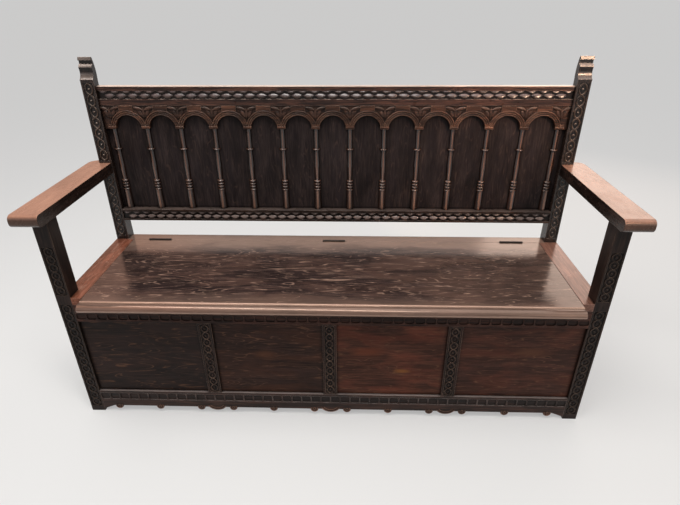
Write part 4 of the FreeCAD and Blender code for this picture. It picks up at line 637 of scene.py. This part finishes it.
# Warm brown on the plain margins, its upward top edge painted pale as a highlight, and the ground between
# the petals painted near black as shade.
crest_oak = oak("polished_oak_crest", "#4a3128", "#221613", "#d8c2b4", "x", 0.3, shine=0.25,
                wear=0.6, grime_and_shade=0.9, worn_and_lit_faces=(("Z", 0.55, 0.85, 0.85),),
                sunk_ground_shade=(RAKE, leaning_face + crest_ground, 0.75), start=40)
# The petals are painted grey where they face upwards, a painted highlight.
nulling_oak = oak("oak_nulling_painted_highlight", "#33261f", "#1d1412", "#7a6e70", "x", 0.24, shine=0.42,
                  wear=0.2, grime_and_shade=0.88, worn_and_lit_faces=(("Z", 0.3, 0.72, 0.9),), start=40)
dress(crest_oak, "crest_rail")
nulling("crest", petals=40, bed=crest_bed, levels=(519, 504.5), half_heights=(9, 11),
        material=nulling_oak)


# Arcaded board: oak, sawn into thirteen arches, the ground above them cut back. Three beads run
# round each arch, an impost caps each spindle, and a spear between two leaves fills each spandrel.
arches = 13
arch_pitch = 112 * MM
springing = 398.5 * MM
# Depths behind the posts' face: of the beads, the imposts and the leaves, and where the ground painted
# dark as shade begins.
bead_bed, impost_bed, leaf_bed, arcade_ground = 8 * MM, 9 * MM, 12 * MM, 10.5 * MM
# Redder than the rest of the back, with the beads' edges rubbed to a light brown, and the ground above the
# arches painted a little darker as shade.
arcade_oak = oak("fumed_oak_arcade", "#523629", "#2a1b15", "#9a7a66", "x", 0.36, shine=0.22,
                 wear=0.85, sunk_ground_shade=(RAKE, leaning_face + arcade_ground, 0.3), start=41)
# The leaves are darker than the board, and painted greyer where they face upwards, a painted highlight.
leaf_oak = oak("oak_leaves_painted_highlight", "#452f26", "#261a15", "#8a766b", "x", 0.36, shine=0.22,
               wear=0.2, grime_and_shade=0.7, worn_and_lit_faces=(("Z", 0.4, 0.8, 0.6),), start=42)
dress(arcade_oak, "arcade_rail")


def bead_unit(radius, thickness):
    # A half-round bead bent into an arch, and mitred where it meets its neighbour's.
    bpy.ops.object.select_all(action="DESELECT")
    bpy.ops.mesh.primitive_torus_add(
        major_segments=36, minor_segments=8, major_radius=radius, minor_radius=thickness,
        rotation=(math.pi / 2, 0, 0))
    bpy.ops.object.transform_apply(location=True, rotation=True, scale=True)
    bpy.ops.object.mode_set(mode="EDIT")
    for corner, outward in (((0, 0, 0), (0, 0, -1)), ((arch_pitch / 2, 0, 0), (1, 0, 0)),
                            ((-arch_pitch / 2, 0, 0), (-1, 0, 0))):
        bpy.ops.mesh.select_all(action="SELECT")
        bpy.ops.mesh.bisect(plane_co=corner, plane_no=outward, clear_outer=True, use_fill=True)
    bpy.ops.object.mode_set(mode="OBJECT")
    return finish_unit(bpy.context.object, 50)


def impost_unit(width, height, depth):
    # A small block with its edges rounded over.
    bpy.ops.object.select_all(action="DESELECT")
    bpy.ops.mesh.primitive_cube_add(size=1)
    unit = bpy.context.object
    unit.scale = (width, depth, height)
    bpy.ops.object.transform_apply(location=True, rotation=True, scale=True)
    bpy.ops.object.mode_set(mode="EDIT")
    bpy.ops.mesh.select_all(action="SELECT")
    bpy.ops.mesh.bevel(offset=1.6 * MM, segments=2)
    bpy.ops.object.mode_set(mode="OBJECT")
    return finish_unit(unit, 30)


centres = [(index - (arches - 1) / 2) * arch_pitch for index in range(arches)]
supports = [(index - arches / 2) * arch_pitch for index in range(arches + 1)]
for name, radius, thickness in (("inner", 46, 2.1), ("middle", 51.8, 1.9), ("outer", 57.6, 2.5)):
    bead = bead_unit(radius * MM, thickness * MM)
    carve(f"archivolt_{name}_beads", bead, [leaning @ at(x, bead_bed, springing) for x in centres],
          arcade_oak)
    discard(bead)
for name, width, height, depth, rise in (("imposts", 28, 8, 7, 5),
                                         ("impost_fillets", 24, 9, 3.4, 11.5)):
    block = impost_unit(width * MM, height * MM, depth * MM)
    carve(f"arcade_{name}", block,
          [leaning @ at(x, impost_bed, springing + rise * MM) for x in supports],
          arcade_oak)
    discard(block)
leaf = petal_unit(20 * MM, 6 * MM, 4.5 * MM, pinch=0.35)
spear = petal_unit(20 * MM, 5.5 * MM, 4.5 * MM, pinch=0.4)
rib = petal_unit(17 * MM, 7 * MM, 3.6 * MM, pinch=0.45)
leaf_level, leaf_offset, leaf_slope = 463.5 * MM, 18 * MM, math.radians(18)
rib_level, rib_offset, rib_slope = 447 * MM, 11 * MM, math.radians(28)
upright = math.pi / 2
leaves, ribs = [], []
for x in supports:
    for side in (-1, 1):
        leaves.append(leaning @ at(x + side * leaf_offset, leaf_bed, leaf_level,
                                   turn=-side * leaf_slope))
        ribs.append(leaning @ at(x + side * rib_offset, leaf_bed, rib_level,
                                 turn=upright + side * rib_slope))
spears = [leaning @ at(x, leaf_bed, rib_level, turn=upright) for x in supports]
carve("spandrel_leaves", leaf, leaves, leaf_oak)
carve("spandrel_ribs", rib, ribs, leaf_oak)
carve("spandrel_spears", spear, spears, leaf_oak)
discard(leaf, spear, rib)


# Back panel: one wide oak board with upright grain, grooved into the rails and the posts. Smoke and
# wax have left it near black, with faint scuffs.
back_oak = oak("fumed_oak_back_panel", "#282120", "#1d1819", "#4d3c35", "z", 0.42, shine=0.1,
               figure=0.4, streaks=0.3, clouds=0.5, start=50)
dress(back_oak, "back_panel")


# Spindles: split turnings of oak, glued to the back panel between the lower rail and the imposts.
# A collar and three rings are rounded on each, and a bead at the top of its base.
def turned_ring_unit(radius, thickness):
    # The front half of a rounded ring cut by the turner's gouge, flat where it meets the panel.
    bpy.ops.object.select_all(action="DESELECT")
    bpy.ops.mesh.primitive_torus_add(
        major_segments=28, minor_segments=10, major_radius=radius, minor_radius=thickness)
    unit = bpy.context.object
    bpy.ops.object.mode_set(mode="EDIT")
    bpy.ops.mesh.select_all(action="SELECT")
    bpy.ops.mesh.bisect(plane_co=(0, 0, 0), plane_no=(0, 1, 0), clear_outer=True, use_fill=True)
    bpy.ops.object.mode_set(mode="OBJECT")
    return finish_unit(unit, 60)


# Dark red-brown and glossy. The one bright line down each shaft is a painted highlight on the faces turned
# straight to the front, the rings are painted paler where they face upwards, and this painted highlight
# fades towards the top.
spindle_oak = oak("turned_oak_spindles", "#25150f", "#140c09", "#86604d", "z", 0.17, shine=0.75,
                  wear=0.15, grime_and_shade=0.9, worn_and_lit_faces=(("Y", -0.93, -1.0, 0.6), ("Z", 0.4, 0.8, 0.45)),
                  worn_and_lit_bands=(("Z", 640 * MM, 800 * MM, -0.45),), start=51)
dress(spindle_oak, *[f"spindle_{index:02d}" for index in range(1, arches + 2)])
panel_face, spindle_foot = 22 * MM, 117 * MM
for name, radius, thickness, levels in (("collar", 11.5, 3, (212.3,)),
                                        ("ring", 9.6, 3.6, (70, 81, 91, 101))):
    ring = turned_ring_unit(radius * MM, thickness * MM)
    carve(f"spindle_{name}_beads", ring,
          [leaning @ at(x, panel_face, spindle_foot + level * MM) for x in supports
           for level in levels], spindle_oak)
    discard(ring)


# Lower back rail: oak, tenoned between the rear posts, and nulled like the crest but with more and
# smaller petals. It is stained dark, with a soft shine on its plain faces; its upward faces are painted a
# little paler as a highlight, and the ground between the petals is painted near black as shade.
# How far behind the posts' face the petals' bed lies, and where the ground painted dark as shade begins.
lower_bed, lower_ground = 5 * MM, 2.5 * MM
lower_oak = oak("polished_oak_lower_back_rail", "#35261f", "#19120f", "#8a7d78", "x", 0.3, shine=0.2,
                wear=0.7, grime_and_shade=0.9, worn_and_lit_faces=(("Z", 0.6, 0.9, 0.2),),
                sunk_ground_shade=(RAKE, leaning_face + lower_ground, 0.75), start=52)
# The petals are painted a soft grey where they face upwards, a painted highlight.
lower_nulling_oak = oak("oak_lower_nulling_painted_highlight", "#3a2a24", "#1f1612", "#8a7974", "x", 0.24,
                        shine=0.4, wear=0.2, grime_and_shade=0.85, worn_and_lit_faces=(("Z", 0.15, 0.6, 0.75),), start=53)
dress(lower_oak, "back_bottom_rail")
nulling("lower", petals=45, bed=lower_bed, levels=(106, 89.5), half_heights=(9, 10),
        material=lower_nulling_oak)


# Pegs: riven oak pins driven through the joints and cut off flush. Their end grain is darker and
# duller than the faces round it.
peg_oak = oak("riven_oak_pegs", "#2b2220", "#181413", "#5a4a44", "y", 0.5, start=60)
dress(peg_oak, "joint_pegs")


# The studio: a pale floor, soft lamps above and behind, and the camera where the photograph has it.
# The floor is darker to light that bounces than to the eye, so it doesn't flood the carving.
floor_size = 200
bpy.ops.object.select_all(action="DESELECT")
bpy.ops.mesh.primitive_plane_add(size=floor_size, location=(0, 0, 0))
floor = bpy.context.object
floor.name = "studio_floor"
floor_paint = bpy.data.materials.new("matt_pale_floor")
floor_paint.use_nodes = True
tree = floor_paint.node_tree
tree.nodes.clear()
rays = add(tree, "ShaderNodeLightPath", {})
seen = add(tree, "ShaderNodeMath", {
    0: rays.outputs["Is Camera Ray"], 1: rays.outputs["Is Glossy Ray"]}, operation="MAXIMUM")
seen = add(tree, "ShaderNodeMath", {
    0: seen.outputs["Value"], 1: rays.outputs["Is Transmission Ray"]}, operation="MAXIMUM")
tone = add(tree, "ShaderNodeMix", {
    "Factor": seen.outputs["Value"], "A": linear("#8a8684"), "B": linear("#e6e6e6")},
    data_type="RGBA")
matt = add(tree, "ShaderNodeBsdfDiffuse", {"Color": tone.outputs["Result"]})
pale = add(tree, "ShaderNodeEmission", {"Color": linear("#f0f0f0"), "Strength": 0.9})
share = add(tree, "ShaderNodeMath", {0: seen.outputs["Value"], 1: 0.45}, operation="MULTIPLY")
paint = add(tree, "ShaderNodeMixShader", {
    0: share.outputs["Value"], 1: matt.outputs["BSDF"], 2: pale.outputs["Emission"]})
add(tree, "ShaderNodeOutputMaterial", {"Surface": paint.outputs["Shader"]})
floor.data.materials.append(floor_paint)

# The air: plain to the eye, and brighter in reflections from the rear, the right and overhead, with
# a warmer wall on the left.
world = bpy.data.worlds.new("studio_air")
bpy.context.scene.world = world
world.use_nodes = True
air = world.node_tree
air.nodes.clear()
rays = add(air, "ShaderNodeLightPath", {})
heading = add(air, "ShaderNodeTexCoord", {})
split = add(air, "ShaderNodeSeparateXYZ", {"Vector": heading.outputs["Generated"]})
glows = {}
for word, axis, begin, full, least, most in (
        ("rear", "Y", -0.5, 0.5, 0.34, 0.54), ("overhead", "Z", 0.68, 0.9, 0.0, 2.2),
        ("right", "X", -0.1, 0.6, 0.0, 0.42), ("left", "X", -0.25, -0.4, 0.0, 0.36)):
    glows[word] = add(air, "ShaderNodeMapRange", {
        "Value": split.outputs[axis], "From Min": begin, "From Max": full,
        "To Min": least, "To Max": most}).outputs["Result"]
mirrored = glows["rear"]
for word in ("overhead", "right", "left"):
    mirrored = add(air, "ShaderNodeMath", {0: mirrored, 1: glows[word]},
                   operation="ADD").outputs["Value"]
plain = add(air, "ShaderNodeMapRange", {
    "Value": rays.outputs["Is Camera Ray"], "From Min": 0.0, "From Max": 1.0,
    "To Min": 0.6, "To Max": 0.64})
strength = add(air, "ShaderNodeMix", {
    "Factor": rays.outputs["Is Glossy Ray"], "A": plain.outputs["Result"], "B": mirrored},
    data_type="FLOAT")
warm = add(air, "ShaderNodeMath", {
    0: glows["left"], 1: rays.outputs["Is Glossy Ray"]}, operation="MULTIPLY")
warm = add(air, "ShaderNodeMath", {0: warm.outputs["Value"], 1: 3.0}, operation="MULTIPLY")
tint = add(air, "ShaderNodeMix", {
    "Factor": warm.outputs["Value"], "A": linear("#f8f6f4"), "B": linear("#ffd0ba")},
    data_type="RGBA")
glow = add(air, "ShaderNodeBackground", {
    "Color": tint.outputs["Result"], "Strength": strength.outputs["Result"]})
add(air, "ShaderNodeOutputWorld", {"Surface": glow.outputs["Background"]})


def softbox(name, place, aim, width, height, watts, tint, spread=180):
    lamp = bpy.data.lights.new(name, "AREA")
    lamp.spread = math.radians(spread)
    lamp.shape = "RECTANGLE"
    lamp.size = width
    lamp.size_y = height
    lamp.energy = watts
    lamp.color = linear(tint)[:3]
    stand = bpy.data.objects.new(name, lamp)
    bpy.context.collection.objects.link(stand)
    stand.location = place
    stand.rotation_euler = (Vector(aim) - Vector(place)).to_track_quat("-Z", "Y").to_euler()


# Each lamp's place and the point it is aimed at, its width, height, watts and tint.
softbox("rear_right_softbox", (1.9, 2.2, 1.7), (0.4, 0, 0.6), 1.6, 1.2, 14, "#ffe9d8")
softbox("overhead_strip", (-0.5, -0.55, 2.5), (-0.1, 0.1, 0.6), 2.4, 0.4, 46, "#fffaf4")
softbox("front_right_fill", (2.0, -2.2, 1.5), (0.2, 0, 0.4), 1.4, 1.4, 11, "#fff0e4")
softbox("right_window", (1.5, -1.3, 1.9), (0.62, 0.25, 0.93), 0.4, 0.4, 1.3, "#ffd0ae", spread=26)
softbox("front_left_fill", (-2.4, -2.2, 1.7), (0, 0, 0.5), 1.4, 1.4, 6, "#eef2ff")

# The camera: its lens, place and direction were solved from the photograph's edges.
lens = bpy.data.cameras.new("photo_camera")
lens.lens = 26.063
lens.sensor_width = 36
eye = bpy.data.objects.new("photo_camera", lens)
bpy.context.collection.objects.link(eye)
eye_place = Vector((0.0732, -1.38965, 1.2609))
ahead = Vector((-0.02875, 0.87991, -0.47428)).normalized()
yaw, roll = 0.0327, -0.0061
level = Vector((math.cos(yaw), math.sin(yaw), 0))
rising = level.cross(ahead)
across = math.cos(roll) * level + math.sin(roll) * rising
top = math.cos(roll) * rising - math.sin(roll) * level
turned = Matrix((across, top, -ahead)).transposed()
eye.matrix_world = Matrix.Translation(eye_place) @ turned.to_4x4()
bpy.context.scene.camera = eye
bpy.context.scene.view_settings.view_transform = "Standard"
